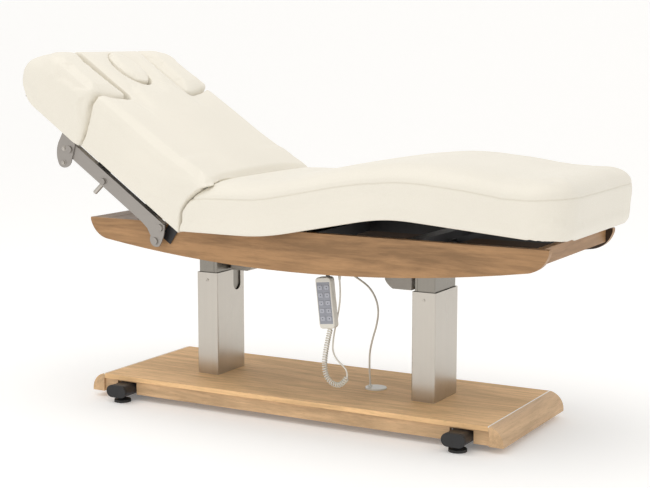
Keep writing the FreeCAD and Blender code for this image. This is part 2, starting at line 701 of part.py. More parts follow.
def back_pad():
    low = BACK_FOOT
    pad = pad_section(low - HEAD_LENGTH, low)
    for side in (-1, 1):
        y0, y1 = sorted((side * HEAD_HALF, side * (PAD_HALF + 5)))
        pad = pad.cut(box(low - HEAD_LENGTH - 5, low - BACK_LENGTH, y0, y1, 0, 2000))
    head_end = low - HEAD_LENGTH
    edge = face_xz((head_end - 1, PAD_BOTTOM + 95), [(head_end + 12, PAD_BOTTOM + 150),
                                                    (head_end + 60, PAD_BOTTOM + PAD_HEIGHT + 3)],
                   [(head_end - 30, PAD_BOTTOM + PAD_HEIGHT + 3)], [(head_end - 30, PAD_BOTTOM + 95)])
    pad = pad.cut(plate_y(edge, -PAD_HALF, PAD_HALF))
    pad = pad.cut(hollow(low - BACK_LENGTH + FOOT_SKIRT, low + 5))
    pad = pad.cut(hollow(head_end + FOOT_SKIRT, low - BACK_LENGTH + FOOT_SKIRT + 1, HEAD_HALF - 30))
    pad = pad.cut(oval(PLUG_U, PLUG_LONG, PLUG_WIDE, 600, 900))
    pad = as_back(pad)
    sweep = BACK_MOST - BACK_REST
    steps = 5
    corner = plate_y(seat_front(CORNER_CLEAR), -PAD_HALF - 5, PAD_HALF + 5)
    for step in range(steps + 1):
        pad = pad.cut(turned(corner, BACK_HINGE_X, HINGE_Z, sweep * step / steps))
    return max(pad.Solids, key=lambda solid: solid.Volume)


def face_plug():
    low = BOARD_LOW + PLY
    top = PAD_BOTTOM + PAD_HEIGHT
    plug = oval(PLUG_U, PLUG_LONG - PLUG_CLEAR, PLUG_WIDE - PLUG_CLEAR, low, top)
    rim = [e for e in plug.Edges if e.BoundBox.ZMin > top - 1]
    return as_back(plug.makeFillet(9.0, rim))


def arm_pad(side):
    inner = ARM_INNER
    x_low = BACK_FOOT - ARM_FOOT
    x_end = BACK_FOOT - ARM_END
    top = PAD_BOTTOM + PAD_HEIGHT - 4
    bottom = PAD_BOTTOM - ARM_SKIRT
    pad = box(x_end, x_low, inner, PAD_HALF, bottom, top)
    outer_up = [e for e in pad.Edges if abs(e.Vertexes[0].Z - e.Vertexes[1].Z) > 1]
    head_corner = [e for e in outer_up if e.Vertexes[0].X < x_end + 1 and e.Vertexes[0].Y > PAD_HALF - 1]
    other = [e for e in outer_up if not any(e.isSame(h) for h in head_corner)]
    pad = pad.makeFillet(95.0, head_corner)
    other = [e for e in pad.Edges if abs(e.Vertexes[0].Z - e.Vertexes[-1].Z) > 100
             and (e.Vertexes[0].Y < inner + 1) or (abs(e.Vertexes[0].Z - e.Vertexes[-1].Z) > 100
                                                   and e.Vertexes[0].X > x_low - 1)]
    pad = pad.makeFillet(25.0, other)
    rim = [e for e in pad.Edges if e.BoundBox.ZMin > top - 1]
    pad = pad.makeFillet(22.0, rim)
    inset = 30.0
    pad = pad.cut(box(x_end + inset, x_low - inset, inner + inset, PAD_HALF - inset, bottom - 1, PAD_BOTTOM))
    pad = as_back(pad)
    return pad if side > 0 else mirrored(pad)


def arm_bracket(side):
    """Pivot plate, flange and board under one arm pad."""
    outer = SIDE_OUTER + BRACKET_GAP + BRACKET_THICK
    u, h = ARM_PIVOT
    outline = [(u + 57, h + 36), (u - 11, h + 31), (u - 31, h - 31), (u - 19, h - 66), (u + 5, h - 72),
               (u + 44, h - 33), (u + 53, h - 5)]
    points = [flat_u(*p) for p in outline]
    face = face_xz(points[0], [points[1]], [points[2]], [points[3], points[4]], [points[5], points[6]])
    plate = plate_y(face, outer - BRACKET_THICK, outer)
    x, z = flat_u(u, h)
    plate = plate.cut(rod_y(x, z, BOLT_RADIUS + PIN_CLEAR, 0, 400))
    flange_x = BACK_FOOT - (u + 25)
    top = PAD_BOTTOM - ARM_BOARD - 1
    flange = box(flange_x - 60, flange_x - 8, 300, outer, top - 4, top)
    board = box(BACK_FOOT - ARM_END + 34, BACK_FOOT - ARM_FOOT - 34, ARM_INNER + 34, PAD_HALF - 34, top,
                PAD_BOTTOM - 1)
    bracket = as_back(plate.fuse(flange).removeSplitter())
    pieces = group(bracket, as_back(board))
    return pieces if side > 0 else mirrored(pieces)


# ---- back section's steelwork ----------------------------------------------------------------------------
def side_rail():
    """One side rail with its lower lug, slot, bolts and nut, for the far side."""
    x0, z0 = flat_u(SIDE_END, SIDE_BOTTOM)
    x1, z1 = flat_u(SIDE_START, SIDE_TOP)
    y = SIDE_OUTER - SIDE_THICK / 2
    rail = tube_x(x0, x1, y, z0, z1, SIDE_THICK, SIDE_WALL)
    slot_x = BACK_FOOT - LEVER_U
    rail = rail.cut(box(slot_x - 16, slot_x + 34, SIDE_OUTER - SIDE_THICK + SIDE_WALL, SIDE_OUTER - SIDE_WALL,
                        z0 - 1, z0 + SIDE_WALL + 1))
    u, h = LOWEST_BOLT
    outline = [(160, SIDE_BOTTOM + 4), (97, -78), (u + 24, h + 6), (u - 4, h - 17), (u - 25, h - 2),
               (28, -58), (SIDE_START - 6, SIDE_TOP), (160, SIDE_TOP)]
    p = [flat_u(*q) for q in outline]
    lug = plate_y(face_xz(p[0], [p[1]], [p[2]], [p[3], p[4]], [p[5], p[6]], [p[7]]), SIDE_OUTER - LUG_THICK,
                  SIDE_OUTER)
    rail = rail.fuse(lug).removeSplitter()
    bolts = []
    for place in (LOW_BOLT, LOWEST_BOLT):
        x, z = flat_u(*place)
        bolts.append(rod_y(x, z, BOLT_HEAD, SIDE_OUTER, SIDE_OUTER + 5))
    x, z = flat_u(*ARM_PIVOT)
    outer = SIDE_OUTER + BRACKET_GAP + BRACKET_THICK
    rail = rail.cut(rod_y(x, z, BOLT_RADIUS, 0, 400))
    shank = rod_y(x, z, BOLT_RADIUS, SIDE_OUTER - SIDE_THICK, outer + 0.4)
    head = rod_y(x, z, BOLT_HEAD, outer + 0.4, outer + 6)
    bolts.append(shank.fuse(head).removeSplitter())
    x, z = flat_u(LEVER_U, LEVER_H)
    rail = rail.cut(rod_y(x, z, BOLT_RADIUS - 1, 0, 400))
    pivot = rod_y(x, z, BOLT_RADIUS - 1, SIDE_OUTER - SIDE_THICK, SIDE_OUTER)
    nut = rod_y(x, z, BOLT_HEAD - 2, SIDE_OUTER, SIDE_OUTER + 8)
    bolts.append(pivot.fuse(nut).removeSplitter())
    return group(rail, *bolts)


def side_rails():
    return both_sides(as_back(side_rail()))


def back_frame():
    """Hinge tube and pins, lever, arms, board and the straps that carry the side rails."""
    tube = rod_y(BACK_HINGE_X, HINGE_Z, TORQUE_RADIUS, -FRAME_TUBE_Y - 9, FRAME_TUBE_Y + 9)
    pin = rod_y(BACK_HINGE_X, HINGE_Z, HINGE_PIN, -PIN_END, PIN_END)
    shaft = tube.fuse(pin).removeSplitter()
    y0, y1 = (FRAME_TUBE_Y - 9, FRAME_TUBE_Y + 9)
    arm = box(BACK_FOOT - 205, BACK_HINGE_X - 45, y0, y1, BOARD_LOW - 18, BOARD_LOW)
    arm = arm.fuse(box(BACK_HINGE_X - 48, BACK_HINGE_X, y0, y1, HINGE_Z - 8, HINGE_Z + 6)).removeSplitter()
    arm = as_back(arm).cut(shaft)
    lever = hinge_lever(BACK_HINGE_X, DRIVE_Y).cut(shaft)
    board = box(BACK_FOOT - BACK_LENGTH + FOOT_SKIRT + 4, BACK_FOOT - BACK_BOARD_START, -PLY_HALF, PLY_HALF, BOARD_LOW,
                BOARD_LOW + PLY)
    tongue = box(BACK_FOOT - HEAD_LENGTH + FOOT_SKIRT + 4, BACK_FOOT - BACK_LENGTH + FOOT_SKIRT + 5,
                 -HEAD_HALF + 34, HEAD_HALF - 34, BOARD_LOW, BOARD_LOW + PLY)
    board = board.fuse(tongue).removeSplitter()
    hole = oval(PLUG_U, PLUG_LONG - PLUG_LEDGE, PLUG_WIDE - PLUG_LEDGE, 600, 700)
    pieces = [shaft, arm, mirrored(arm), lever, as_back(board.cut(hole))]
    inner = SIDE_OUTER - SIDE_THICK
    for u in (130, 370):
        x = BACK_FOOT - u
        flange = box(x - 30, x + 30, PLY_HALF - 60, inner + STRAP_THICK, BOARD_LOW - STRAP_THICK, BOARD_LOW)
        leg = box(x - 30, x + 30, inner, inner + STRAP_THICK, PAD_BOTTOM + SIDE_TOP, BOARD_LOW)
        strap = as_back(flange.fuse(leg).removeSplitter())
        pieces += [strap, mirrored(strap)]
    block = face_xz(flat_u(2, -2), [flat_u(2, -78)], [flat_u(44, -78)], [flat_u(44, -2)])
    block = as_back(plate_y(block, inner - 3, inner))
    pieces += [block, mirrored(block)]
    return group(*pieces)


def release_lever(side):
    """The rubber-sleeved lever under a side rail that lets the arm pad go."""
    x, z = flat_u(LEVER_U, LEVER_H)
    y = SIDE_OUTER - SIDE_THICK / 2
    hub = rod_y(x, z, BOLT_RADIUS + 4, y - 5, y + 5)
    stem = rod_z(x, y, LEVER_RADIUS - 3, z - LEVER_LENGTH + 20, z - 6)
    grip = rod_z(x, y, LEVER_RADIUS, z - LEVER_LENGTH, z + SIDE_BOTTOM - LEVER_H - 1)
    grip = grip.makeFillet(3.0, [e for e in grip.Edges if e.BoundBox.ZMax < z - LEVER_LENGTH + 1])
    stem = turned(stem.fuse(grip), x, z, -LEVER_LEAN)
    lever = hub.fuse(stem).cut(rod_y(x, z, BOLT_RADIUS - 1 + PIN_CLEAR, 0, 400)).removeSplitter()
    lever = as_back(lever)
    return lever if side > 0 else mirrored(lever)


# ---- thigh and leg frames --------------------------------------------------------------------------------
def section_side_tube(x0, x1):
    outer = box(x0, x1, SIDE_TUBE_Y - SIDE_TUBE_WIDTH / 2, SIDE_TUBE_Y + SIDE_TUBE_WIDTH / 2, SIDE_TUBE_LOW, BOARD_LOW)
    inner = box(x0 - 1, x1 + 1, SIDE_TUBE_Y - SIDE_TUBE_WIDTH / 2 + 2, SIDE_TUBE_Y + SIDE_TUBE_WIDTH / 2 - 2,
                SIDE_TUBE_LOW + 2, BOARD_LOW - 2)
    return outer.cut(inner)


def knee_x():
    return THIGH_HINGE_X + THIGH_LENGTH


def thigh_frame():
    inner_face = SIDE_TUBE_Y - SIDE_TUBE_WIDTH / 2
    tube = section_side_tube(THIGH_HINGE_X + 30, knee_x() - 16)
    ear = box(knee_x() - 60, knee_x() + 10, inner_face - 4, inner_face, HINGE_Z - 10, HINGE_Z + 10)
    ear = ear.cut(rod_y(knee_x(), HINGE_Z, BOLT_RADIUS + PIN_CLEAR, 0, 400))
    cross_low = BOARD_LOW - 20
    crosses = [box(x - 15, x + 15, -inner_face, inner_face, cross_low, BOARD_LOW)
               for x in (THIGH_HINGE_X + 60, knee_x() - 45)]
    arm = box(THIGH_HINGE_X, THIGH_HINGE_X + 45, FRAME_TUBE_Y - 9, FRAME_TUBE_Y + 9, cross_low, BOARD_LOW)
    torque = rod_y(THIGH_HINGE_X, HINGE_Z, TORQUE_RADIUS, -FRAME_TUBE_Y - 9, FRAME_TUBE_Y + 9)
    pin = rod_y(THIGH_HINGE_X, HINGE_Z, HINGE_PIN, -PIN_END, PIN_END)
    shaft = torque.fuse(pin).removeSplitter()
    side = tube.fuse(ear).removeSplitter()
    arm = arm.cut(shaft).cut(crosses[0])
    lever = hinge_lever(THIGH_HINGE_X, -DRIVE_Y).cut(shaft)
    flat = [as_thigh(piece) for piece in (side, mirrored(side), arm, mirrored(arm), *crosses)]
    board = box(THIGH_HINGE_X + 38, knee_x() - 14, -PLY_HALF, PLY_HALF, BOARD_LOW, BOARD_LOW + PLY)
    return group(shaft, lever, as_thigh(board), *flat)


def leg_frame():
    inner_face = SIDE_TUBE_Y - SIDE_TUBE_WIDTH / 2
    end = knee_x() + LEG_LENGTH - LEG_FRAME_SHORT
    tube = section_side_tube(knee_x() + 18, end)
    ear = box(knee_x() - 10, knee_x() + 40, inner_face - 8.4, inner_face - 4.4, HINGE_Z - 10, HINGE_Z + 10)
    web = box(knee_x() + 18, knee_x() + 40, inner_face - 8.4, inner_face, HINGE_Z - 10, HINGE_Z + 10)
    pin = rod_y(knee_x(), HINGE_Z, BOLT_RADIUS, inner_face - 8.4, inner_face + 6)
    cross_low = BOARD_LOW - 20
    crosses = [box(x - 15, x + 15, -inner_face, inner_face, cross_low, BOARD_LOW) for x in (knee_x() + 55, end - 20)]
    pivot_x = knee_x() + PROP_U
    lug = box(pivot_x - 12, pivot_x + 12, PROP_Y + PROP_THICK, PROP_Y + 2 * PROP_THICK, HINGE_Z - 2, BOARD_LOW)
    stub = rod_y(pivot_x, HINGE_Z + 5, BOLT_RADIUS - 1, PROP_Y - 1, PROP_Y + 2 * PROP_THICK)
    side = tube.fuse(ear).fuse(web).fuse(pin).removeSplitter()
    board = box(knee_x() + 14, end + 20, -PLY_HALF, PLY_HALF, BOARD_LOW, BOARD_LOW + PLY)
    lug = lug.fuse(stub).removeSplitter()
    return group(*[as_leg(piece) for piece in (side, mirrored(side), *crosses, board, lug, mirrored(lug))])


def leg_prop():
    """The swinging prop with two rollers that runs on the frame rails and carries the leg section."""
    x = knee_x() + PROP_U
    z = HINGE_Z + 5
    arm = box(x - PROP_REACH, x, PROP_Y - 1, PROP_Y + PROP_THICK - 1, z - 8, z + 8)
    arm = arm.fuse(rod_y(x, z, 10, PROP_Y - 1, PROP_Y + PROP_THICK - 1))
    arm = arm.cut(rod_y(x, z, BOLT_RADIUS - 1 + PIN_CLEAR, 0, 400))
    bar = rod_y(x - PROP_REACH, z, 7, -PROP_Y + 1, PROP_Y - 1)
    roller = rod_y(x - PROP_REACH, z, ROLLER_RADIUS, PROP_Y + PROP_THICK - 1, RAIL_Y + RAIL_WIDTH / 2 - 2)
    return group(arm, mirrored(arm), bar, roller, mirrored(roller)), x, z


def prop_angle():
    """The prop's turn from lying along the leg frame so that its rollers stand on the frame rails."""
    knee = V(knee_x(), 0, HINGE_Z)
    pivot = V(knee_x() + PROP_U, 0, HINGE_Z + 5)
    arrow = Part.Vertex(pivot)
    arrow = as_leg(arrow)
    height = arrow.Point.z - (rail_low() + RAIL_HEIGHT + ROLLER_RADIUS + 0.5)
    lean = math.degrees(math.asin(height / PROP_REACH))
    slope = KNEE_REST - THIGH_REST
    return lean + slope


def placed_prop():
    prop, x, z = leg_prop()
    return as_leg(turned(prop, x, z, prop_angle()))


# ---- handset and leads -----------------------------------------------------------------------------------
def lean_case(shape):
    copy = shape.copy()
    copy.rotate(V(CASE_X, 0, CASE_Z), V(0, 1, 0), -CASE_LEAN)
    return copy


def control_box():
    low = rail_low() - CONTROL_HEIGHT
    case = box(CONTROL_X - 60, CONTROL_X + 75, -85, 85, low, rail_low())
    return case.makeFillet(8.0, [e for e in case.Edges if e.BoundBox.ZMax < low + 1])


def handset_case():
    half = CASE_WIDTH / 2
    case = box(CASE_X - half, CASE_X + half, CASE_FRONT, CASE_FRONT + CASE_DEPTH, CASE_Z - CASE_HEIGHT / 2,
               CASE_Z + CASE_HEIGHT / 2)
    case = case.makeFillet(CASE_CORNER, [e for e in case.Edges if abs(e.Vertexes[0].Y - e.Vertexes[1].Y) > 1])
    case = case.makeFillet(4.0, [e for e in case.Edges if e.BoundBox.YMax < CASE_FRONT + 1])
    recess = box(CASE_X - KEYPAD_WIDTH / 2, CASE_X + KEYPAD_WIDTH / 2, CASE_FRONT - 1, CASE_FRONT + 3,
                 CASE_Z - KEYPAD_HEIGHT / 2, CASE_Z + KEYPAD_HEIGHT / 2)
    hollow_part = box(CASE_X - half + 3, CASE_X + half - 3, CASE_FRONT + 6, CASE_FRONT + CASE_DEPTH - 3,
                      CASE_Z - CASE_HEIGHT / 2 + 3, CASE_Z + CASE_HEIGHT / 2 - 3)
    return lean_case(case.cut(recess).cut(hollow_part))


def key_centres():
    centres = []
    for row in range(5):
        for column in range(2):
            x = CASE_X + (column - 0.5) * KEY_PITCH_X
            z = CASE_Z + (2 - row) * KEY_PITCH_Z
            centres.append((x, z))
    return centres


def keypad():
    plate = box(CASE_X - KEYPAD_WIDTH / 2, CASE_X + KEYPAD_WIDTH / 2, CASE_FRONT + 0.6, CASE_FRONT + 3,
                CASE_Z - KEYPAD_HEIGHT / 2, CASE_Z + KEYPAD_HEIGHT / 2)
    for x, z in key_centres():
        reach_x = KEY_WIDTH / 2 + KEY_CLEAR
        reach_z = KEY_HEIGHT / 2 + KEY_CLEAR
        plate = plate.cut(box(x - reach_x, x + reach_x, CASE_FRONT, CASE_FRONT + 4, z - reach_z, z + reach_z))
    return lean_case(plate)


def key(index):
    x, z = key_centres()[index]
    cap = box(x - KEY_WIDTH / 2, x + KEY_WIDTH / 2, CASE_FRONT + 0.6 - KEY_PROUD, CASE_FRONT + 1.6,
              z - KEY_HEIGHT / 2, z + KEY_HEIGHT / 2)
    cap = cap.makeFillet(3.0, [e for e in cap.Edges if abs(e.Vertexes[0].Y - e.Vertexes[1].Y) > 1])
    cap = cap.makeFillet(0.8, [e for e in cap.Edges if e.BoundBox.YMax < CASE_FRONT + 0.7 - KEY_PROUD])
    return lean_case(cap)


def handset_hanger():
    """The steel hanger under the near frame rail: plate, hook for the handset and clip for its lead."""
    face = -RAIL_Y + RAIL_WIDTH / 2
    top = rail_low()
    plate = box(132, 204, face, face + 4, 536, top + 30)
    hook_x = 148.0
    back = CASE_FRONT + CASE_DEPTH
    tongue = box(hook_x - 7, hook_x + 7, back, back + 3, CASE_Z + 35, 560)
    return plate.fuse(tongue).removeSplitter()


def lead_glands():
    """Tapered strain reliefs: at the handset, at the hanger, and at the control box."""
    def taper(tip, mouth, tip_radius, mouth_radius):
        start = V(*tip)
        run = V(*mouth).sub(start)
        return Part.makeCone(tip_radius, mouth_radius, run.Length, start, run)
    x, y, z = LEAD_ROUTE[-1]
    hanger = taper((x, y, z), (x, y, z + 36), LEAD_RADIUS + 1.0, 7.0)
    mouth = V(x, y, z + 36)
    hanger = hanger.fuse(box(x - 9, x + 9, -RAIL_Y + RAIL_WIDTH / 2 + 4, y + 9, mouth.z, mouth.z + 12))
    start = V(*CABLE_ROUTE[0])
    away = start.sub(V(*CABLE_ROUTE[1]))
    away.normalize()
    root = start.add(away.multiply(26.0))
    box_gland = taper(tuple(start), tuple(root), CABLE_RADIUS + 1.0, 8.0)
    socket = rod_z(root.x - 3, root.y, 10.0, root.z - 4, rail_low() - CONTROL_HEIGHT)
    return group(hanger.removeSplitter(), box_gland.fuse(socket).removeSplitter())


def cable_grommet():
    """A round pale cover plate on the base with a hole for the cable."""
    x, y, z = CABLE_ROUTE[-1]
    disc = Part.makeCylinder(38.0, 5.0, V(x + 22, y, BOARD_TOP))
    disc = disc.makeFillet(2.5, [e for e in disc.Edges if e.BoundBox.ZMin > BOARD_TOP + 4])
    collar = Part.makeCone(10.0, CABLE_RADIUS + 2.0, z - BOARD_TOP - END_GAP, V(x, y, BOARD_TOP))
    return disc.fuse(collar).removeSplitter()


def lead(route, radius, name):
    """A round lead along straight runs joined by arcs as large as the runs allow."""
    points = [V(*p) for p in route]
    edges = []
    here = points[0]
    radii = []
    for before, corner, after in zip(points, points[1:], points[2:]):
        into = corner.sub(before)
        out = after.sub(corner)
        reach = 0.45 * min(into.Length, out.Length)
        turn = into.getAngle(out)
        radii.append(reach / math.tan(turn / 2))
        into.normalize()
        out.normalize()
        start = corner.sub(into * reach)
        end = corner.add(out * reach)
        bisector = (out - into)
        bisector.normalize()
        centre_away = radii[-1] / math.cos(turn / 2)
        middle = corner.add(bisector * (centre_away - radii[-1]))
        edges.append(Part.LineSegment(here, start).toShape())
        edges.append(Part.Arc(start, middle, end).toShape())
        here = end
    edges.append(Part.LineSegment(here, points[-1]).toShape())
    path = Part.Wire(edges)
    first = points[1].sub(points[0])
    ring = Part.Wire([Part.Circle(points[0], first, radius).toShape()])
    solid = path.makePipeShell([ring], True, False)
    expected = math.pi * radius * radius * path.Length
    print(name, "length", round(path.Length), "least radius", round(min(radii), 1), "in diameters",
          round(min(radii) / radius / 2, 1), "volume ratio", round(solid.Volume / expected, 4))
    return solid


# ---- output ----------------------------------------------------------------------------------------------
def nodes():
    """Every node's name and shape."""
    table = {
        "base_board": base_board(),
        "base_aprons": base_aprons(),
        "base_end_mouldings": base_mouldings(),
        "inlay_strips": inlay_strips(),
        "base_steelwork": base_steelwork(),
        "foot_bars": foot_bars(),
        "foot_bar_caps": foot_bar_caps(),
        "column_sleeves": column_sleeves(),
        "column_guides": column_guides(),
        "lift_spindles": lift_spindles(),
        "cable_grommet": cable_grommet(),
        "inner_columns": inner_columns(),
        "column_motors": column_motors(),
        "side_panel_near": side_panel(-1),
        "side_panel_far": side_panel(1),
        "head_boards": head_boards(),
        "foot_end_board": foot_end_board(),
        "frame_rails": frame_rails(),
        "seat_frame": seat_frame(),
        "linear_drives": linear_drives(),
        "control_box": control_box(),
        "seat_pad": seat_pad(),
        "back_frame": back_frame(),
        "back_pad": back_pad(),
        "side_rails": side_rails(),
        "face_plug": face_plug(),
        "back_drive_rod": drive_rod(BACK_HINGE_X, DRIVE_Y, 1, 220),
        "thigh_frame": thigh_frame(),
        "thigh_pad": thigh_pad(),
        "thigh_drive_rod": drive_rod(THIGH_HINGE_X, -DRIVE_Y, 1, 220),
        "leg_frame": leg_frame(),
        "leg_pad": leg_pad(),
        "leg_prop": placed_prop(),
        "handset_case": handset_case(),
        "keypad": keypad(),
        "handset_hanger": handset_hanger(),
        "lead_glands": lead_glands(),
        "handset_coil": lead(COIL_ROUTE, COIL_RADIUS, "handset_coil"),
        "handset_lead": lead(LEAD_ROUTE, LEAD_RADIUS, "handset_lead"),
        "base_cable": lead(CABLE_ROUTE, CABLE_RADIUS, "base_cable"),
    }
    for end, side_x in (("head", -1), ("foot", 1)):
        for place, side_y in (("near", -1), ("far", 1)):
            table[f"levelling_foot_{end}_{place}"] = levelling_foot(side_x, side_y)
    for place, side_y in (("near", -1), ("far", 1)):
        table[f"arm_pad_{place}"] = arm_pad(side_y)
        table[f"arm_bracket_{place}"] = arm_bracket(side_y)
        table[f"release_lever_{place}"] = release_lever(side_y)
    for index, name in enumerate(KEYS):
        table[f"key_{name}"] = key(index)
    return table


def report_joints():
    """Print the hinge lines that the joints use, in the exported frame."""
    knee = as_thigh(Part.Vertex(V(knee_x(), 0, HINGE_Z))).Point
    prop = as_leg(Part.Vertex(V(knee_x() + PROP_U, 0, HINGE_Z + 5))).Point
    x, z = flat_u(*ARM_PIVOT)
    arm = as_back(Part.Vertex(V(x, 0, z))).Point
    x, z = flat_u(LEVER_U, LEVER_H)
    lever = as_back(Part.Vertex(V(x, 0, z))).Point
    for name, point in (("knee", knee), ("prop", prop), ("arm", arm), ("release", lever),
                        ("back", V(BACK_HINGE_X, 0, HINGE_Z)), ("thigh", V(THIGH_HINGE_X, 0, HINGE_Z))):
        print(name, "hinge at", round(point.x + ORIGIN_SHIFT, 3), round(point.z, 3))


def main():
    os.makedirs("parts", exist_ok=True)
    for name, shape in nodes().items():
        shape.translate(V(ORIGIN_SHIFT, 0, 0))
        if not shape.isValid():
            print("not valid:", name)
        shape.exportStep(f"parts/{name}.step")
    report_joints()


main()
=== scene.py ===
"""Looks of a two-column electric treatment bed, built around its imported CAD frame.

The padding is simulated as cloth over flat patterns and then laid along the bed's hinged
sections.  Timber, steel and plastic parts keep their CAD shape and get procedural finishes.
"""

import json
import logging
import math
from collections.abc import Callable, Iterator, Sequence
from contextlib import contextmanager
from dataclasses import dataclass, field
from enum import Enum

import bmesh
import bpy
import numpy as np
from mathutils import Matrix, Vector


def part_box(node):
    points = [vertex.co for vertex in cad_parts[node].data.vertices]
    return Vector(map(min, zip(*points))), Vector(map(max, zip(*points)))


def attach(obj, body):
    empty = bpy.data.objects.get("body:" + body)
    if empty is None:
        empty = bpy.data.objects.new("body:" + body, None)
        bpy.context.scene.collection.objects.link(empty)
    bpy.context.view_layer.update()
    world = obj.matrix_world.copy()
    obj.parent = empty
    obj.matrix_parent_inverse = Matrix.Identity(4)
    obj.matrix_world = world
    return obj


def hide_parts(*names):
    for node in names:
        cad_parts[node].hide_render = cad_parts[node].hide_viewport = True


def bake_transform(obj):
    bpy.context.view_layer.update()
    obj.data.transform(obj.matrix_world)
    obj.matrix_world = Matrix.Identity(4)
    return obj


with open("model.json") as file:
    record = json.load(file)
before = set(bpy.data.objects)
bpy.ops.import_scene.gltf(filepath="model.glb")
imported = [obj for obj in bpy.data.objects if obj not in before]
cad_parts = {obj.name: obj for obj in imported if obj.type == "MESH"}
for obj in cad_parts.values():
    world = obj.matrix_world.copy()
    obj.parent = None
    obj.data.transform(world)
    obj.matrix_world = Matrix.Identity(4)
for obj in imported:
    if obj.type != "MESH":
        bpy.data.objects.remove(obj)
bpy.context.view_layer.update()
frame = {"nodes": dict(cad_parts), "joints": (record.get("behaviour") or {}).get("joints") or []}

LOG = logging.getLogger("treatment_bed")
MM = 0.001
SHIFT = 13.0  # the row frame's origin lies this far foot-ward of the base centre, mm
BACK_ANGLE = -34.6  # how far the back section is turned at rest, degrees
HINGE_HEIGHT = 0.65  # of the back and thigh hinges, m
Row = tuple[float, float, float]
Socket = bpy.types.NodeSocket
Given = Socket | float | tuple[float, ...]  # a linked socket or a plain value


class Grain(Enum):
    """Which way the timber's grain or the metal's brushing runs."""

    LENGTH = (0.0, 0.0, 0.0)
    WIDTH = (0.0, 0.0, math.pi / 2)
    UPRIGHT = (0.0, math.pi / 2, 0.0)


class Sheen(Enum):
    """How glossy a finish is, as a roughness."""

    MATTE = 0.62
    SATIN = 0.42
    SEMI_GLOSS = 0.3


def place(x: float, y: float, z: float) -> Vector:
    """A point given in millimetres from the base centre, in the row frame."""
    return Vector(((x + SHIFT) * MM, y * MM, z * MM))


def joint(name: str) -> dict:
    """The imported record's joint of that name."""
    return next(j for j in frame["joints"] if j["name"] == name)


def pick(obj: bpy.types.Object) -> None:
    """Makes obj the only selected object, and the active one."""
    pick_nothing()
    obj.select_set(True)
    bpy.context.view_layer.objects.active = obj


def pick_nothing() -> None:
    """Clears the selection."""
    bpy.ops.object.select_all(action="DESELECT")


def settle(obj: bpy.types.Object) -> None:
    """Moves the place of obj into its mesh, so that the object sits at the origin."""
    pick(obj)
    bpy.ops.object.transform_apply(location=True, rotation=True, scale=True)


def finish_modifier(obj: bpy.types.Object, kind: str, **settings: object) -> None:
    """Adds a modifier and applies it.

    Args:
        obj: The mesh object.
        kind: The modifier's type.
        settings: Its settings.
    """
    pick(obj)
    modifier = obj.modifiers.new(kind.title(), kind)
    for name, value in settings.items():
        setattr(modifier, name, value)
    bpy.ops.object.modifier_apply(modifier=modifier.name)


@contextmanager
def editing(obj: bpy.types.Object) -> Iterator[None]:
    """Holds obj in edit mode, with everything selected at the start."""
    pick(obj)
    bpy.ops.object.mode_set(mode="EDIT")
    bpy.ops.mesh.select_all(action="SELECT")
    yield
    bpy.ops.object.mode_set(mode="OBJECT")


def choose(obj: bpy.types.Object, kind: str, test: Callable[[Vector, Vector], bool]) -> None:
    """Selects the edges or the faces that pass a test, in edit mode.

    Args:
        obj: The mesh object.
        kind: "EDGE" to test an edge's two ends, "FACE" to test a face's centre and normal.
        test: The test.
    """
    bpy.ops.mesh.select_mode(type=kind)
    bpy.ops.mesh.select_all(action="DESELECT")
    mesh = bmesh.from_edit_mesh(obj.data)
    if kind == "EDGE":
        for edge in mesh.edges:
            edge.select_set(bool(test(edge.verts[0].co, edge.verts[1].co)))
    else:
        for face in mesh.faces:
            face.select_set(bool(test(face.calc_center_median(), face.normal)))
    mesh.select_flush_mode()
    bmesh.update_edit_mesh(obj.data)


def add_object(name: str, data: bpy.types.ID) -> bpy.types.Object:
    """Puts an object with this data into the scene."""
    obj = bpy.data.objects.new(name, data)
    bpy.context.scene.collection.objects.link(obj)
    return obj


def rows_of(vectors: bpy.types.bpy_prop_collection, key: str) -> np.ndarray:
    """A collection's vectors, one row each."""
    rows = np.empty(len(vectors) * 3, np.float32)
    vectors.foreach_get(key, rows)
    return rows.reshape(-1, 3).astype(float)


def points_of(obj: bpy.types.Object) -> np.ndarray:
    """The vertices of obj, one row each."""
    return rows_of(obj.data.vertices, "co")


def normals_of(obj: bpy.types.Object) -> np.ndarray:
    """The vertex normals of obj, one row each."""
    return rows_of(obj.data.vertex_normals, "vector")


def move_to(obj: bpy.types.Object, co: np.ndarray) -> None:
    """Sets the vertices of obj."""
    obj.data.vertices.foreach_set("co", co.astype(np.float32).ravel())
    obj.data.update()


def ramp(value: np.ndarray, low: float, high: float) -> np.ndarray:
    """A smooth step from 0 at low to 1 at high."""
    t = np.clip((value - low) / (high - low), 0.0, 1.0)
    return t * t * (3.0 - 2.0 * t)


# ---- finishes ------------------------------------------------------------------------------------


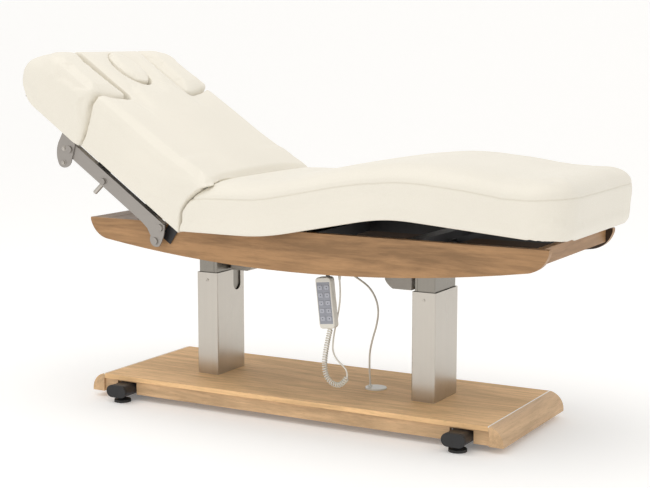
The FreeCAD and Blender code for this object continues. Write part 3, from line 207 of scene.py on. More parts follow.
class Nodes:
    """A small helper that adds and links the nodes of one tree."""

    def __init__(self, tree: bpy.types.NodeTree) -> None:
        """Starts with the tree to fill."""
        self.tree = tree

    def add(self, kind: str, inputs: dict | None = None, **settings: object) -> bpy.types.Node:
        """Adds a node.

        Args:
            kind: The node's type.
            inputs: Values or sockets for its inputs, by name or number.
            settings: Its own settings.

        Returns:
            The node.
        """
        node = self.tree.nodes.new(kind)
        for name, value in settings.items():
            setattr(node, name, value)
        for key, value in (inputs or {}).items():
            if isinstance(value, bpy.types.NodeSocket):
                self.tree.links.new(value, node.inputs[key])
            else:
                node.inputs[key].default_value = value
        return node

    def math(self, operation: str, *values: Given, clamp: bool = False) -> Socket:
        """A Math node's output for these values or sockets."""
        node = self.add("ShaderNodeMath", dict(enumerate(values)), operation=operation)
        node.use_clamp = clamp
        return node.outputs[0]

    def weigh(self, first: Socket, share: float, second: Socket, rest: float) -> Socket:
        """The sum of two values, each times its weight."""
        return self.math("ADD", self.math("MULTIPLY", first, share),
                         self.math("MULTIPLY", second, rest))

    def mix(self, factor: Given, first: Given, second: Given, **settings: object) -> Socket:
        """A colour mixed from first to second by factor."""
        given = {0: factor, 6: first, 7: second}
        return self.add("ShaderNodeMix", given, data_type="RGBA", **settings).outputs[2]

    def band(self, value: Given, low: float, high: float, out_low: float,
             out_high: float) -> Socket:
        """Maps value from one range to another, clamped."""
        given = {"Value": value, "From Min": low, "From Max": high, "To Min": out_low,
                 "To Max": out_high}
        return self.add("ShaderNodeMapRange", given).outputs[0]

    def noise(self, vector: Socket, scale: Given, detail: float = 3.0,
              rough: float = 0.5) -> Socket:
        """A Noise texture's value."""
        given = {"Vector": vector, "Scale": scale, "Detail": detail, "Roughness": rough}
        return self.add("ShaderNodeTexNoise", given).outputs[0]

    def stretch(self, vector: Socket, *scale: float) -> Socket:
        """A point scaled along each axis."""
        return self.add("ShaderNodeMapping", {"Vector": vector, "Scale": scale}).outputs[0]

    def stir(self, vector: Socket, scale: float, detail: float, reach: float) -> Socket:
        """A point pushed about by a noise."""
        warp = self.add("ShaderNodeTexNoise", {"Vector": vector, "Scale": scale, "Detail": detail})
        push = self.add("ShaderNodeVectorMath", {0: warp.outputs["Color"], "Scale": reach},
                        operation="SCALE")
        return self.add("ShaderNodeVectorMath", {0: vector, 1: push.outputs[0]},
                        operation="ADD").outputs[0]

    def object_point(self) -> Socket:
        """The Object texture coordinate."""
        return self.add("ShaderNodeTexCoord").outputs["Object"]


Group = tuple[bpy.types.NodeTree, Nodes, bpy.types.Node, bpy.types.Node]


def new_group(name: str, inputs: dict[str, float], outputs: tuple[str, ...]) -> Group:
    """Makes an empty shader group.

    Args:
        name: The group's name.
        inputs: Its float inputs with their values.
        outputs: Its float outputs.

    Returns:
        The group's tree, its Nodes helper, its input node and its output node.
    """
    tree = bpy.data.node_groups.new(name, "ShaderNodeTree")
    add_socket = tree.interface.new_socket
    add_socket(name="Vector", in_out="INPUT", socket_type="NodeSocketVector")
    for title, value in inputs.items():
        socket = add_socket(name=title, in_out="INPUT", socket_type="NodeSocketFloat")
        socket.default_value = value
    for title in outputs:
        add_socket(name=title, in_out="OUTPUT", socket_type="NodeSocketFloat")
    nodes = Nodes(tree)
    return tree, nodes, nodes.add("NodeGroupInput"), nodes.add("NodeGroupOutput")


class Effects:
    """The shader groups that several finishes share, each built once."""

    def __init__(self) -> None:
        """Builds every group."""
        self.mottle = self._mottle()
        self.hide = self._hide()
        self.timber = self._timber()
        self.brushing = self._brushing()
        self.wear = self._wear()

    @staticmethod
    def _mottle() -> bpy.types.NodeTree:
        """Soft, cloudy variation, from 0 to 1."""
        tree, n, given, out = new_group("mottle", {"Scale": 6.0}, ("Value",))
        broad = n.noise(given.outputs["Vector"], given.outputs["Scale"], 4.0, 0.55)
        tree.links.new(n.band(broad, 0.3, 0.7, 0.0, 1.0), out.inputs["Value"])
        return tree

    @staticmethod
    def _hide() -> bpy.types.NodeTree:
        """The pebbled grain of leatherette and, more broadly, its soft creases."""
        tree, n, given, out = new_group("hide_grain", {"Pebble": 620.0, "Crease": 24.0},
                                        ("Height", "Crease"))
        point = given.outputs["Vector"]
        cells = n.add("ShaderNodeTexVoronoi",
                      {"Vector": n.stir(point, 210.0, 2.0, 0.0022),
                       "Scale": given.outputs["Pebble"]},
                      feature="DISTANCE_TO_EDGE")
        pebble = n.band(cells.outputs["Distance"], 0.0, 0.28, 0.0, 1.0)
        fine = n.noise(point, 2400.0, 2.0)
        height = n.weigh(pebble, 0.75, fine, 0.25)
        crease = n.noise(n.stretch(point, 1.0, 0.32, 1.0), given.outputs["Crease"], 2.0, 0.45)
        ridge = n.math("ABSOLUTE", n.math("SUBTRACT", crease, 0.5))
        tree.links.new(height, out.inputs["Height"])
        tree.links.new(n.band(ridge, 0.0, 0.05, 0.0, 1.0), out.inputs["Crease"])
        return tree

    @staticmethod
    def _timber() -> bpy.types.NodeTree:
        """Oak veneer whose grain runs along the vector's X: tone, pores and height."""
        tree, n, given, out = new_group("timber", {"Figure": 11.0}, ("Tone", "Pores", "Height"))
        point = given.outputs["Vector"]
        bent = n.stir(n.stretch(point, 0.09, 1.0, 1.0), 5.0, 3.0, 0.13)
        rings = n.noise(bent, n.math("MULTIPLY", given.outputs["Figure"], 6.0), 5.0, 0.6)
        slow = n.noise(bent, given.outputs["Figure"], 2.0, 0.5)
        tone = n.weigh(rings, 0.6, slow, 0.4)
        pores = n.noise(n.stretch(point, 0.03, 1.0, 1.0), 900.0, 2.0, 0.6)
        dark = n.band(pores, 0.58, 0.74, 0.0, 1.0)
        height = n.math("SUBTRACT", n.math("MULTIPLY", tone, 0.4), n.math("MULTIPLY", dark, 0.6))
        tree.links.new(n.band(tone, 0.4, 0.6, 0.0, 1.0), out.inputs["Tone"])
        tree.links.new(dark, out.inputs["Pores"])
        tree.links.new(height, out.inputs["Height"])
        return tree

    @staticmethod
    def _brushing() -> bpy.types.NodeTree:
        """Fine parallel scratches along the vector's X."""
        tree, n, given, out = new_group("brushing", {"Fineness": 1500.0}, ("Tone", "Height"))
        thin = n.stretch(given.outputs["Vector"], 0.012, 1.0, 1.0)
        lines = n.noise(thin, given.outputs["Fineness"], 3.0, 0.7)
        broad = n.noise(thin, 60.0, 2.0, 0.5)
        tone = n.weigh(lines, 0.55, broad, 0.45)
        tree.links.new(n.band(tone, 0.3, 0.7, 0.0, 1.0), out.inputs["Tone"])
        tree.links.new(lines, out.inputs["Height"])
        return tree

    @staticmethod
    def _wear() -> bpy.types.NodeTree:
        """Sparse scuffs and settled dust, from 0 to 1."""
        tree, n, given, out = new_group("scuffs", {"Scale": 30.0, "Amount": 0.5}, ("Mask",))
        long = n.stretch(given.outputs["Vector"], 0.4, 1.0, 1.0)
        marks = n.noise(long, given.outputs["Scale"], 6.0, 0.7)
        mask = n.band(marks, 0.6, 0.78, 0.0, 1.0)
        tree.links.new(n.math("MULTIPLY", mask, given.outputs["Amount"]), out.inputs["Mask"])
        return tree


@dataclass(frozen=True)
class Finish:
    """A paint, plastic or rubber finish, and the base of the others."""

    name: str
    colour: Row
    sheen: Sheen = Sheen.SATIN
    metallic: float = 0.0
    variation: float = 0.06
    texture_scale: float = 900.0
    bump: float = 0.15
    coat: float = 0.0

    def tint(self, factor: float) -> tuple[float, float, float, float]:
        """The finish's colour, lightened or darkened by a factor."""
        return tuple(min(1.0, c * factor) for c in self.colour) + (1.0,)

    def start(self) -> tuple[bpy.types.Material, Nodes, bpy.types.Node]:
        """Makes the material with a plain Principled shader.

        Returns:
            The material, its Nodes helper and its shader node.
        """
        material = bpy.data.materials.new(self.name)
        material.use_nodes = True
        nodes = Nodes(material.node_tree)
        shader = material.node_tree.nodes["Principled BSDF"]
        shader.inputs["Metallic"].default_value = self.metallic
        shader.inputs["Roughness"].default_value = self.sheen.value
        shader.inputs["Coat Weight"].default_value = self.coat
        shader.inputs["Coat Roughness"].default_value = 0.12
        return material, nodes, shader

    def use(self, nodes: Nodes, group: bpy.types.NodeTree, vector: Socket,
            **inputs: float) -> bpy.types.Node:
        """Places a shared effect in the material."""
        node = nodes.add("ShaderNodeGroup", node_tree=group)
        nodes.tree.links.new(vector, node.inputs["Vector"])
        for name, value in inputs.items():
            node.inputs[name].default_value = value
        return node

    def relief(self, nodes: Nodes, shader: bpy.types.Node, height: Socket, strength: float,
               distance: float, under: bpy.types.Node | None = None) -> bpy.types.Node:
        """Feeds a height to the shader's normal.

        Args:
            nodes: The material's helper.
            shader: Its shader node.
            height: The socket that gives the height.
            strength: The bump's strength.
            distance: The height of 1, in metres.
            under: Another bump's normal to build on.

        Returns:
            The Bump node.
        """
        bump = nodes.add("ShaderNodeBump", {"Height": height, "Strength": strength,
                                            "Distance": distance})
        if under is not None:
            nodes.tree.links.new(under.outputs[0], bump.inputs["Normal"])
        nodes.tree.links.new(bump.outputs[0], shader.inputs["Normal"])
        return bump

    def turned(self, nodes: Nodes, grain: Grain) -> Socket:
        """The object point turned so that its X runs along the grain."""
        given = {"Vector": nodes.object_point(), "Rotation": grain.value}
        return nodes.add("ShaderNodeMapping", given).outputs[0]

    def varied(self, nodes: Nodes, factor: Socket) -> Socket:
        """The finish's colour, varied by a factor from 0 to 1."""
        return nodes.mix(factor, self.tint(1.0 - self.variation), self.tint(1.0 + self.variation))

    def make(self, effects: Effects) -> bpy.types.Material:
        """Builds the material: a moulded or coated skin with faint scuffs."""
        material, n, shader = self.start()
        point = n.object_point()
        cloud = self.use(n, effects.mottle, point, Scale=14.0).outputs["Value"]
        scuff = self.use(n, effects.wear, point, Scale=55.0, Amount=0.5).outputs["Mask"]
        worn = n.math("ADD", cloud, n.math("MULTIPLY", scuff, 0.6), clamp=True)
        n.tree.links.new(self.varied(n, worn), shader.inputs["Base Color"])
        rough = n.math("ADD", n.band(cloud, 0.0, 1.0, self.sheen.value - 0.05,
                                     self.sheen.value + 0.06), n.math("MULTIPLY", scuff, 0.12))
        n.tree.links.new(rough, shader.inputs["Roughness"])
        self.relief(n, shader, n.noise(point, self.texture_scale, 2.0), self.bump, 0.0003)
        return material


@dataclass(frozen=True)
class Leatherette(Finish):
    """Pale upholstery vinyl with a fine pebbled grain, with painted shade in its seams."""

    def make(self, effects: Effects) -> bpy.types.Material:
        """Builds the material."""
        material, n, shader = self.start()
        point = n.object_point()
        cloud = self.use(n, effects.mottle, point, Scale=3.2).outputs["Value"]
        hide = self.use(n, effects.hide, point)
        seam = n.add("ShaderNodeAttribute", attribute_name="seam").outputs["Fac"]
        grain = n.mix(n.band(hide.outputs["Height"], 0.0, 0.7, 0.0, 1.0),
                      self.tint(0.93), (1.0, 1.0, 1.0, 1.0))
        toned = n.mix(0.35, self.varied(n, cloud), grain, blend_type="MULTIPLY")
        # Painted shade for the seam grooves.
        seam_shade = tuple(c * f for c, f in zip(self.colour, (0.62, 0.58, 0.5))) + (1.0,)
        n.tree.links.new(n.mix(seam, toned, seam_shade), shader.inputs["Base Color"])
        n.tree.links.new(n.band(hide.outputs["Height"], 0.0, 1.0, self.sheen.value + 0.08,
                                self.sheen.value - 0.04), shader.inputs["Roughness"])
        soft = self.relief(n, shader, hide.outputs["Crease"], 0.12, 0.0006)
        self.relief(n, shader, hide.outputs["Height"], 0.3, 0.00025, soft)
        return material


@dataclass(frozen=True)
class Timber(Finish):
    """Lacquered oak veneer, with painted shade on a side panel's inner face where asked."""

    grain: Grain = Grain.LENGTH
    dark: Row = (0.2, 0.1, 0.045)
    # The Y sign of the panel's inner face that gets painted shade; 0 for none.
    shaded_inner_side: float = 0.0

    def make(self, effects: Effects) -> bpy.types.Material:
        """Builds the material."""
        material, n, shader = self.start()
        point = self.turned(n, self.grain)
        shader.inputs["Specular IOR Level"].default_value = 0.3
        wood = self.use(n, effects.timber, point)
        cloud = self.use(n, effects.mottle, point, Scale=4.0).outputs["Value"]
        tone = n.weigh(wood.outputs["Tone"], 0.75, cloud, 0.25)
        pores = n.math("MULTIPLY", wood.outputs["Pores"], 0.5)
        grained = n.mix(pores, self.varied(n, tone), self.dark + (1.0,))
        # Painted shade: the panel's inner face is darkened almost to black.
        if self.shaded_inner_side:
            facing = n.add("ShaderNodeSeparateXYZ",
                           {0: n.add("ShaderNodeNewGeometry").outputs["True Normal"]}).outputs[1]
            inner = n.band(n.math("MULTIPLY", facing, self.shaded_inner_side), 0.8, 0.95, 0.0, 0.93)
            grained = n.mix(inner, grained, (0.02, 0.013, 0.009, 1.0))
        n.tree.links.new(grained, shader.inputs["Base Color"])
        n.tree.links.new(n.band(tone, 0.0, 1.0, self.sheen.value + 0.05, self.sheen.value - 0.05),
                         shader.inputs["Roughness"])
        self.relief(n, shader, wood.outputs["Height"], 0.22, 0.0004)
        return material


@dataclass(frozen=True)
class Brushed(Finish):
    """Brushed or ground metal."""

    grain: Grain = Grain.UPRIGHT
    fineness: float = 1500.0

    def make(self, effects: Effects) -> bpy.types.Material:
        """Builds the material."""
        material, n, shader = self.start()
        shader.inputs["Anisotropic"].default_value = 0.45
        point = self.turned(n, self.grain)
        lines = self.use(n, effects.brushing, point, Fineness=self.fineness)
        cloud = self.use(n, effects.mottle, point, Scale=5.0).outputs["Value"]
        tone = n.weigh(lines.outputs["Tone"], 0.6, cloud, 0.4)
        n.tree.links.new(self.varied(n, tone), shader.inputs["Base Color"])
        n.tree.links.new(n.band(tone, 0.0, 1.0, self.sheen.value - 0.07, self.sheen.value + 0.09),
                         shader.inputs["Roughness"])
        self.relief(n, shader, lines.outputs["Height"], 0.12, 0.0001)
        return material


@dataclass
class Palette:
    """Every finish of the bed, made once and handed out by name."""

    effects: Effects
    made: dict[str, bpy.types.Material] = field(default_factory=dict)

    def finishes(self) -> tuple[Finish, ...]:
        """The finishes, each named for what it covers."""
        oak = (0.365, 0.208, 0.098)
        # The base's oak: partly a lighter oak than the panels, partly painted light against the
        # shade of the bed above it.
        oak_base_partly_lit = (0.6, 0.4, 0.225)
        # The base board's oak, brightened further as painted light against the shade of the bed
        # above it.
        oak_deck_lit = (0.82, 0.53, 0.27)
        return (
            Leatherette("ivory_leatherette", (0.835, 0.798, 0.71), Sheen.SATIN, variation=0.015),
            Timber("oak_lengthwise", oak_base_partly_lit, Sheen.SATIN, variation=0.26),
            Timber("oak_deck_lit", oak_deck_lit, Sheen.MATTE, variation=0.2),
            # The side panels carry painted shade on their inner faces.
            Timber("oak_near_panel", oak, Sheen.SATIN, variation=0.32, shaded_inner_side=1.0),
            Timber("oak_far_panel", oak, Sheen.SATIN, variation=0.32, shaded_inner_side=-1.0),
            Timber("oak_crosswise", oak, Sheen.SATIN, variation=0.2, grain=Grain.WIDTH),
            Timber("oak_moulding", oak_base_partly_lit, Sheen.SATIN, variation=0.2, grain=Grain.WIDTH),
            Brushed("column_stainless", (0.54, 0.505, 0.455), Sheen.SEMI_GLOSS, metallic=1.0,
                    variation=0.07, grain=Grain.UPRIGHT),
            # Painted shade: the inner columns get a darker copy of the column steel.
            Brushed("shaded_inner_stainless", (0.28, 0.26, 0.23), Sheen.SEMI_GLOSS, metallic=1.0,
                    variation=0.07, grain=Grain.UPRIGHT),
            Brushed("rail_stainless", (0.37, 0.345, 0.32), Sheen.SATIN, metallic=0.85,
                    variation=0.06, grain=Grain.LENGTH, fineness=1100.0),
            Brushed("inlay_aluminium", (0.8, 0.79, 0.76), Sheen.SEMI_GLOSS, metallic=0.9,
                    variation=0.05, grain=Grain.WIDTH),
            Finish("black_coating", (0.018, 0.018, 0.02), Sheen.SATIN, variation=0.25),
            Finish("grey_coating", (0.3, 0.29, 0.28), Sheen.SATIN, metallic=0.4),
            Finish("black_moulding", (0.02, 0.02, 0.021), Sheen.MATTE, variation=0.3,
                   texture_scale=1600.0, bump=0.3),
            Finish("foot_rubber", (0.02, 0.02, 0.02), Sheen.MATTE, variation=0.3, bump=0.35),
            Finish("motor_housing", (0.4, 0.365, 0.32), Sheen.SATIN, variation=0.08),
            Finish("guide_moulding", (0.05, 0.05, 0.05), Sheen.MATTE, variation=0.2),
            Finish("ivory_moulding", (0.72, 0.69, 0.62), Sheen.SEMI_GLOSS, variation=0.02,
                   texture_scale=2200.0, coat=0.15),
            Finish("keypad_film", (0.3, 0.31, 0.35), Sheen.SATIN, variation=0.05,
                   texture_scale=2600.0),
            Finish("key_film", (0.42, 0.43, 0.48), Sheen.SATIN, variation=0.05),
            Finish("key_print", (0.05, 0.06, 0.08), Sheen.SATIN, variation=0.1),
            Finish("cord_skin", (0.68, 0.64, 0.56), Sheen.SATIN, variation=0.06,
                   texture_scale=1800.0, bump=0.1),
            Finish("zinc_fixing", (0.5, 0.47, 0.43), Sheen.SEMI_GLOSS, metallic=0.9,
                   variation=0.12),
        )

    def fill(self) -> None:
        """Makes every material."""
        for finish in self.finishes():
            self.made[finish.name] = finish.make(self.effects)

    def dress(self, obj: bpy.types.Object, name: str) -> None:
        """Gives obj one finish all over."""
        obj.data.materials.clear()
        obj.data.materials.append(self.made[name])


# ---- camera, light and floor ---------------------------------------------------------------------


@dataclass
class Studio:
    """The camera, the soft lights and the plain floor."""

    eye: Row = (2.4896, -4.4027, 1.2933)
    tilt: float = 81.954
    turn: float = 29.221
    lens: float = 80.95
    floor_half: float = 14.0
    wall_back: float = 6.5
    sky: float = 0.86
    lamps: tuple[tuple[str, Row, float, float, Row], ...] = (
        ("overhead", (-0.4, -0.6, 4.2), 4.0, 44.0, (1.0, 0.985, 0.96)),
        ("front", (-0.6, -4.8, 1.4), 2.6, 14.0, (1.0, 0.98, 0.95)))
    sweep: float = 0.12

    def camera(self) -> None:
        """Makes the camera at the bed's viewing angle."""
        data = bpy.data.cameras.new("camera")
        data.lens = self.lens
        data.sensor_width = 36.0
        data.clip_end = 100.0
        camera = add_object("camera", data)
        camera.location = self.eye
        camera.rotation_euler = (math.radians(self.tilt), 0.0, math.radians(self.turn))
        bpy.context.scene.camera = camera

    def lamp(self, name: str, at: Row, size: float, watts: float, warmth: Row) -> None:
        """Adds a soft square lamp that faces the bed."""
        data = bpy.data.lights.new(name, "AREA")
        data.size = size
        data.energy = watts
        data.color = warmth
        lamp = add_object(name, data)
        lamp.location = at
        aim = Vector((0.0, 0.0, 0.7)) - Vector(at)
        lamp.rotation_euler = aim.to_track_quat("-Z", "Y").to_euler()

    def lights(self) -> None:
        """Sets the soft light of a plain studio."""
        world = bpy.data.worlds.new("studio")
        world.use_nodes = True
        sky = world.node_tree.nodes["Background"]
        sky.inputs["Color"].default_value = (1.0, 0.985, 0.965, 1.0)
        sky.inputs["Strength"].default_value = self.sky
        bpy.context.scene.world = world
        for name, at, size, watts, warmth in self.lamps:
            self.lamp(name, at, size, watts, warmth)
        scene = bpy.context.scene
        scene.view_settings.view_transform = "Standard"
        scene.view_settings.look = "None"

    def floor(self) -> None:
        """Lays the pale floor, swept up at the back."""
        pick_nothing()
        bpy.ops.mesh.primitive_grid_add(x_subdivisions=2, y_subdivisions=40, size=2.0)
        floor = bpy.context.active_object
        floor.name = "studio_floor"
        co = points_of(floor) * self.floor_half
        rise = np.clip(co[:, 1] - self.wall_back, 0.0, None)
        co[:, 2] = rise ** 2 * self.sweep
        move_to(floor, co)
        bpy.ops.object.shade_smooth()
        material = bpy.data.materials.new("studio_paper")
        material.use_nodes = True
        shader = material.node_tree.nodes["Principled BSDF"]
        shader.inputs["Base Color"].default_value = (0.96, 0.96, 0.955, 1.0)
        shader.inputs["Emission Color"].default_value = (1.0, 1.0, 1.0, 1.0)
        shader.inputs["Emission Strength"].default_value = 0.14
        shader.inputs["Roughness"].default_value = 0.9
        floor.data.materials.append(material)

    def build(self) -> None:
        """Sets up the whole studio."""
        self.camera()
        self.lights()
        self.floor()


# ---- cords ---------------------------------------------------------------------------------------


@dataclass
class Cords:
    """The handset's curly lead, its thin return to the frame, and the cable down to the base."""

    palette: Palette
    coil_route: tuple[Row, ...] = (
        (167, -236, 339), (157, -236, 300), (150, -236, 264), (144, -236, 226), (145, -236, 190),
        (158, -236, 161), (185, -236, 146), (213, -236, 152), (230, -236, 178))
    lead_route: tuple[Row, ...] = (
        (230, -236, 178), (229, -233, 198), (210, -229, 214), (185, -226, 230), (168, -223, 256),
        (167, -219, 290), (172, -215, 330), (181, -213, 372), (189, -213, 416), (193, -215, 462),
        (191, -218, 500))
    cable_route: tuple[Row, ...] = (
        (82, 0, 500), (108, 1, 487), (144, 3, 468), (186, 5, 443), (213, 6, 403), (222, 7, 358),
        (214, 7, 308), (199, 7, 262), (188, 7, 216), (186, 8, 172), (188, 8, 134), (190, 8, 99))
    coil_radius: float = 6.6
    wire_radius: float = 2.5
    pitch: float = 8.0
    lead_radius: float = 2.8
    cable_radius: float = 3.3
    turn_points: int = 12
    spread: float = 1.07
    taper: float = 5.0
    length_share: float = 0.95

    def line(self, name: str, points: Sequence[Vector], radius: float = 0.0) -> bpy.types.Object:
        """A smooth open spline.

        Args:
            name: The object's name.
            points: Its control points in the row frame.
            radius: The cord's radius in metres, or 0 for the bare line.

        Returns:
            The curve object.
        """
        data = bpy.data.curves.new(name, "CURVE")
        data.dimensions = "3D"
        data.resolution_u = 10 if len(points) < 100 else 3
        spline = data.splines.new("NURBS")
        spline.points.add(len(points) - 1)
        for point, at in zip(spline.points, points):
            point.co = (*at, 1.0)
        spline.order_u = 3
        spline.use_endpoint_u = True
        data.bevel_depth = radius
        data.bevel_resolution = 3
        data.use_fill_caps = radius > 0
        return add_object(name, data)

    def trace(self, route: tuple[Row, ...]) -> np.ndarray:
        """The points that the smooth line of a route passes, in order."""
        bare = self.line("bare_route", [place(*p) for p in route])
        mesh = bpy.data.meshes.new_from_object(bare)
        traced = np.array([v.co for v in mesh.vertices], float)
        bpy.data.objects.remove(bare)
        bpy.data.meshes.remove(mesh)
        return traced

    def curls(self) -> list[Vector]:
        """The curly lead's own winding about its route."""
        traced = self.trace(self.coil_route)
        steps = np.linalg.norm(np.diff(traced, axis=0), axis=1)
        along = np.concatenate(([0.0], np.cumsum(steps)))
        total = along[-1]
        turns = int(total / (self.pitch * MM))
        count = turns * self.turn_points
        reach = np.linspace(0.0, total, count)
        centre = np.stack([np.interp(reach, along, traced[:, k]) for k in range(3)], axis=1)
        run = np.gradient(centre, axis=0)
        run /= np.linalg.norm(run, axis=1)[:, None]
        side = np.array([0.0, 1.0, 0.0])
        wound = []
        taper = self.taper * MM
        grow = ramp(reach, 0.0, taper) * (1.0 - ramp(reach, total - taper, total))
        for k in range(count):
            cross = np.cross(run[k], side)
            angle = 2.0 * math.pi * k / self.turn_points
            arm = math.cos(angle) * side + math.sin(angle) * cross / np.linalg.norm(cross)
            wound.append(Vector(centre[k] + arm * grow[k] * self.coil_radius * self.spread * MM))
        return wound

    def build(self) -> None:
        wound = self.curls()
        coil = self.line("curly_lead", wound, self.wire_radius * MM)
        lead = self.line("return_lead", [place(*p) for p in self.lead_route], self.lead_radius * MM)
        cable_path = self.trace(self.cable_route)
        cable = self.line("drop_cable", [place(*p) for p in self.cable_route],
                          self.cable_radius * MM)
        pick(cable)
        bpy.ops.object.convert(target="MESH")
        cable = bpy.context.active_object
        bpy.ops.object.shade_smooth()
        for obj, node in ((coil, "handset_coil"), (lead, "handset_lead"), (cable, "base_cable")):
            self.palette.dress(obj, "cord_skin")
            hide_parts(node)
        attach(coil, "top_frame")
        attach(lead, "top_frame")
        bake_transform(cable)


# ---- upholstery ----------------------------------------------------------------------------------


@dataclass
class Section:
    """A hinged section of the bed: its pivot and how far it is turned at rest."""

    pivot: Vector
    degrees: float

    def turned(self, co: np.ndarray, sign: float) -> np.ndarray:
        """Turns points about the pivot, foot end up for a positive angle."""
        angle = math.radians(self.degrees) * sign
        x = co[:, 0] - self.pivot.x
        z = co[:, 2] - self.pivot.z
        out = co.copy()
        out[:, 0] = self.pivot.x + x * math.cos(angle) - z * math.sin(angle)
        out[:, 2] = self.pivot.z + x * math.sin(angle) + z * math.cos(angle)
        return out

    def flatten(self, co: np.ndarray) -> np.ndarray:
        """Lays the section's points flat."""
        return self.turned(co, -1.0)

    def raise_up(self, co: np.ndarray) -> np.ndarray:
        """Puts flat points where the section stands at rest."""
        return self.turned(co, 1.0)


@dataclass
class Filling:
    """How a pad is stuffed: the cloth simulation's settings."""

    voxel: float = 0.0085
    pinch: float = 0.003
    pressure: float = 4.0
    reach: float = 0.008
    frames: int = 20

    def remesh(self, obj: bpy.types.Object) -> None:
        """Gives the pad an even mesh."""
        finish_modifier(obj, "REMESH", mode="VOXEL", voxel_size=self.voxel, adaptivity=0.0)

    def swell(self, obj: bpy.types.Object, free: np.ndarray) -> None:
        """Inflates the pad as cloth, then caps how far it went.

        Args:
            obj: The pad, evenly meshed.
            free: How free each vertex is to move, from 0 to 1.
        """
        outline = points_of(obj)
        start = outline - normals_of(obj) * self.pinch * free[:, None]
        move_to(obj, start)
        group = obj.vertex_groups.new(name="held")
        for index in np.nonzero(free < 0.05)[0]:
            group.add([int(index)], 1.0, "REPLACE")
        pick(obj)
        cloth = obj.modifiers.new("stuffing", "CLOTH")
        cloth.settings.quality = 5
        cloth.settings.use_pressure = True
        cloth.settings.uniform_pressure_force = self.pressure
        cloth.settings.effector_weights.gravity = 0.0
        cloth.settings.vertex_group_mass = group.name
        cloth.point_cache.frame_start = 1
        cloth.point_cache.frame_end = self.frames
        for step in range(1, self.frames + 1):
            bpy.context.scene.frame_set(step)
        bpy.ops.object.modifier_apply(modifier=cloth.name)
        bpy.context.scene.frame_set(1)
        obj.vertex_groups.clear()
        moved = points_of(obj) - start
        far = np.linalg.norm(moved, axis=1)
        scale = np.minimum(1.0, self.reach / np.maximum(far, 1e-9)) * free
        move_to(obj, start + moved * scale[:, None])


@dataclass
class Pad:
    """One stuffed pad that stands for CAD nodes."""

    name: str
    palette: Palette
    filling: Filling = field(default_factory=Filling)
    bottom: float = 0.637

    def from_node(self, node: str, section: Section) -> bpy.types.Object:
        """A flat copy of a CAD pad, with its doubles merged.

        Args:
            node: The CAD node.
            section: The section that it belongs to.

        Returns:
            The copy, laid flat.
        """
        source = frame["nodes"][node]
        obj = add_object(self.name, source.data.copy())
        with editing(obj):
            bpy.ops.mesh.remove_doubles(threshold=1e-5)
        move_to(obj, section.flatten(points_of(obj)))
        return obj

    def keep_flat(self, obj: bpy.types.Object) -> None:
        """Remembers each vertex's place on the flat pattern."""
        flat = obj.data.attributes.new("pattern", "FLOAT_VECTOR", "POINT")
        flat.data.foreach_set("vector", points_of(obj).astype(np.float32).ravel())

    @staticmethod
    def pattern(obj: bpy.types.Object) -> np.ndarray:
        """Each vertex's place on the flat pattern."""
        return rows_of(obj.data.attributes["pattern"].data, "vector")

    @staticmethod
    def groove(obj: bpy.types.Object, away: np.ndarray, depth: float, width: float) -> None:
        """Sinks a seam into the pad and paints shade along it.

        Args:
            obj: The pad.
            away: Each vertex's distance from the seam.
            depth: How deep the seam lies.
            width: Its half-width.
        """
        sunk = np.exp(-((away / width) ** 2))
        move_to(obj, points_of(obj) - normals_of(obj) * (sunk * depth)[:, None])
        # The seam attribute holds the painted shade along the groove.
        seam = obj.data.attributes.get("seam")
        if seam is None:
            seam = obj.data.attributes.new("seam", "FLOAT", "POINT")
        old = np.zeros(len(away), np.float32)
        seam.data.foreach_get("value", old)
        line = np.exp(-((away / (0.55 * width)) ** 2)).astype(np.float32)
        seam.data.foreach_set("value", np.maximum(old, line * 0.3))

    def finish(self, obj: bpy.types.Object, fill: float, *nodes: str) -> None:
        """Args:
            obj: The pad.
            fill: How full it is; not used.
            nodes: The CAD nodes that it stands for.
        """
        pick(obj)
        bpy.ops.object.shade_smooth_by_angle(angle=math.radians(62))
        self.palette.dress(obj, "ivory_leatherette")
        if nodes:
            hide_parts(*nodes)
        LOG.info("pad %s: %d faces", obj.name, len(obj.data.polygons))


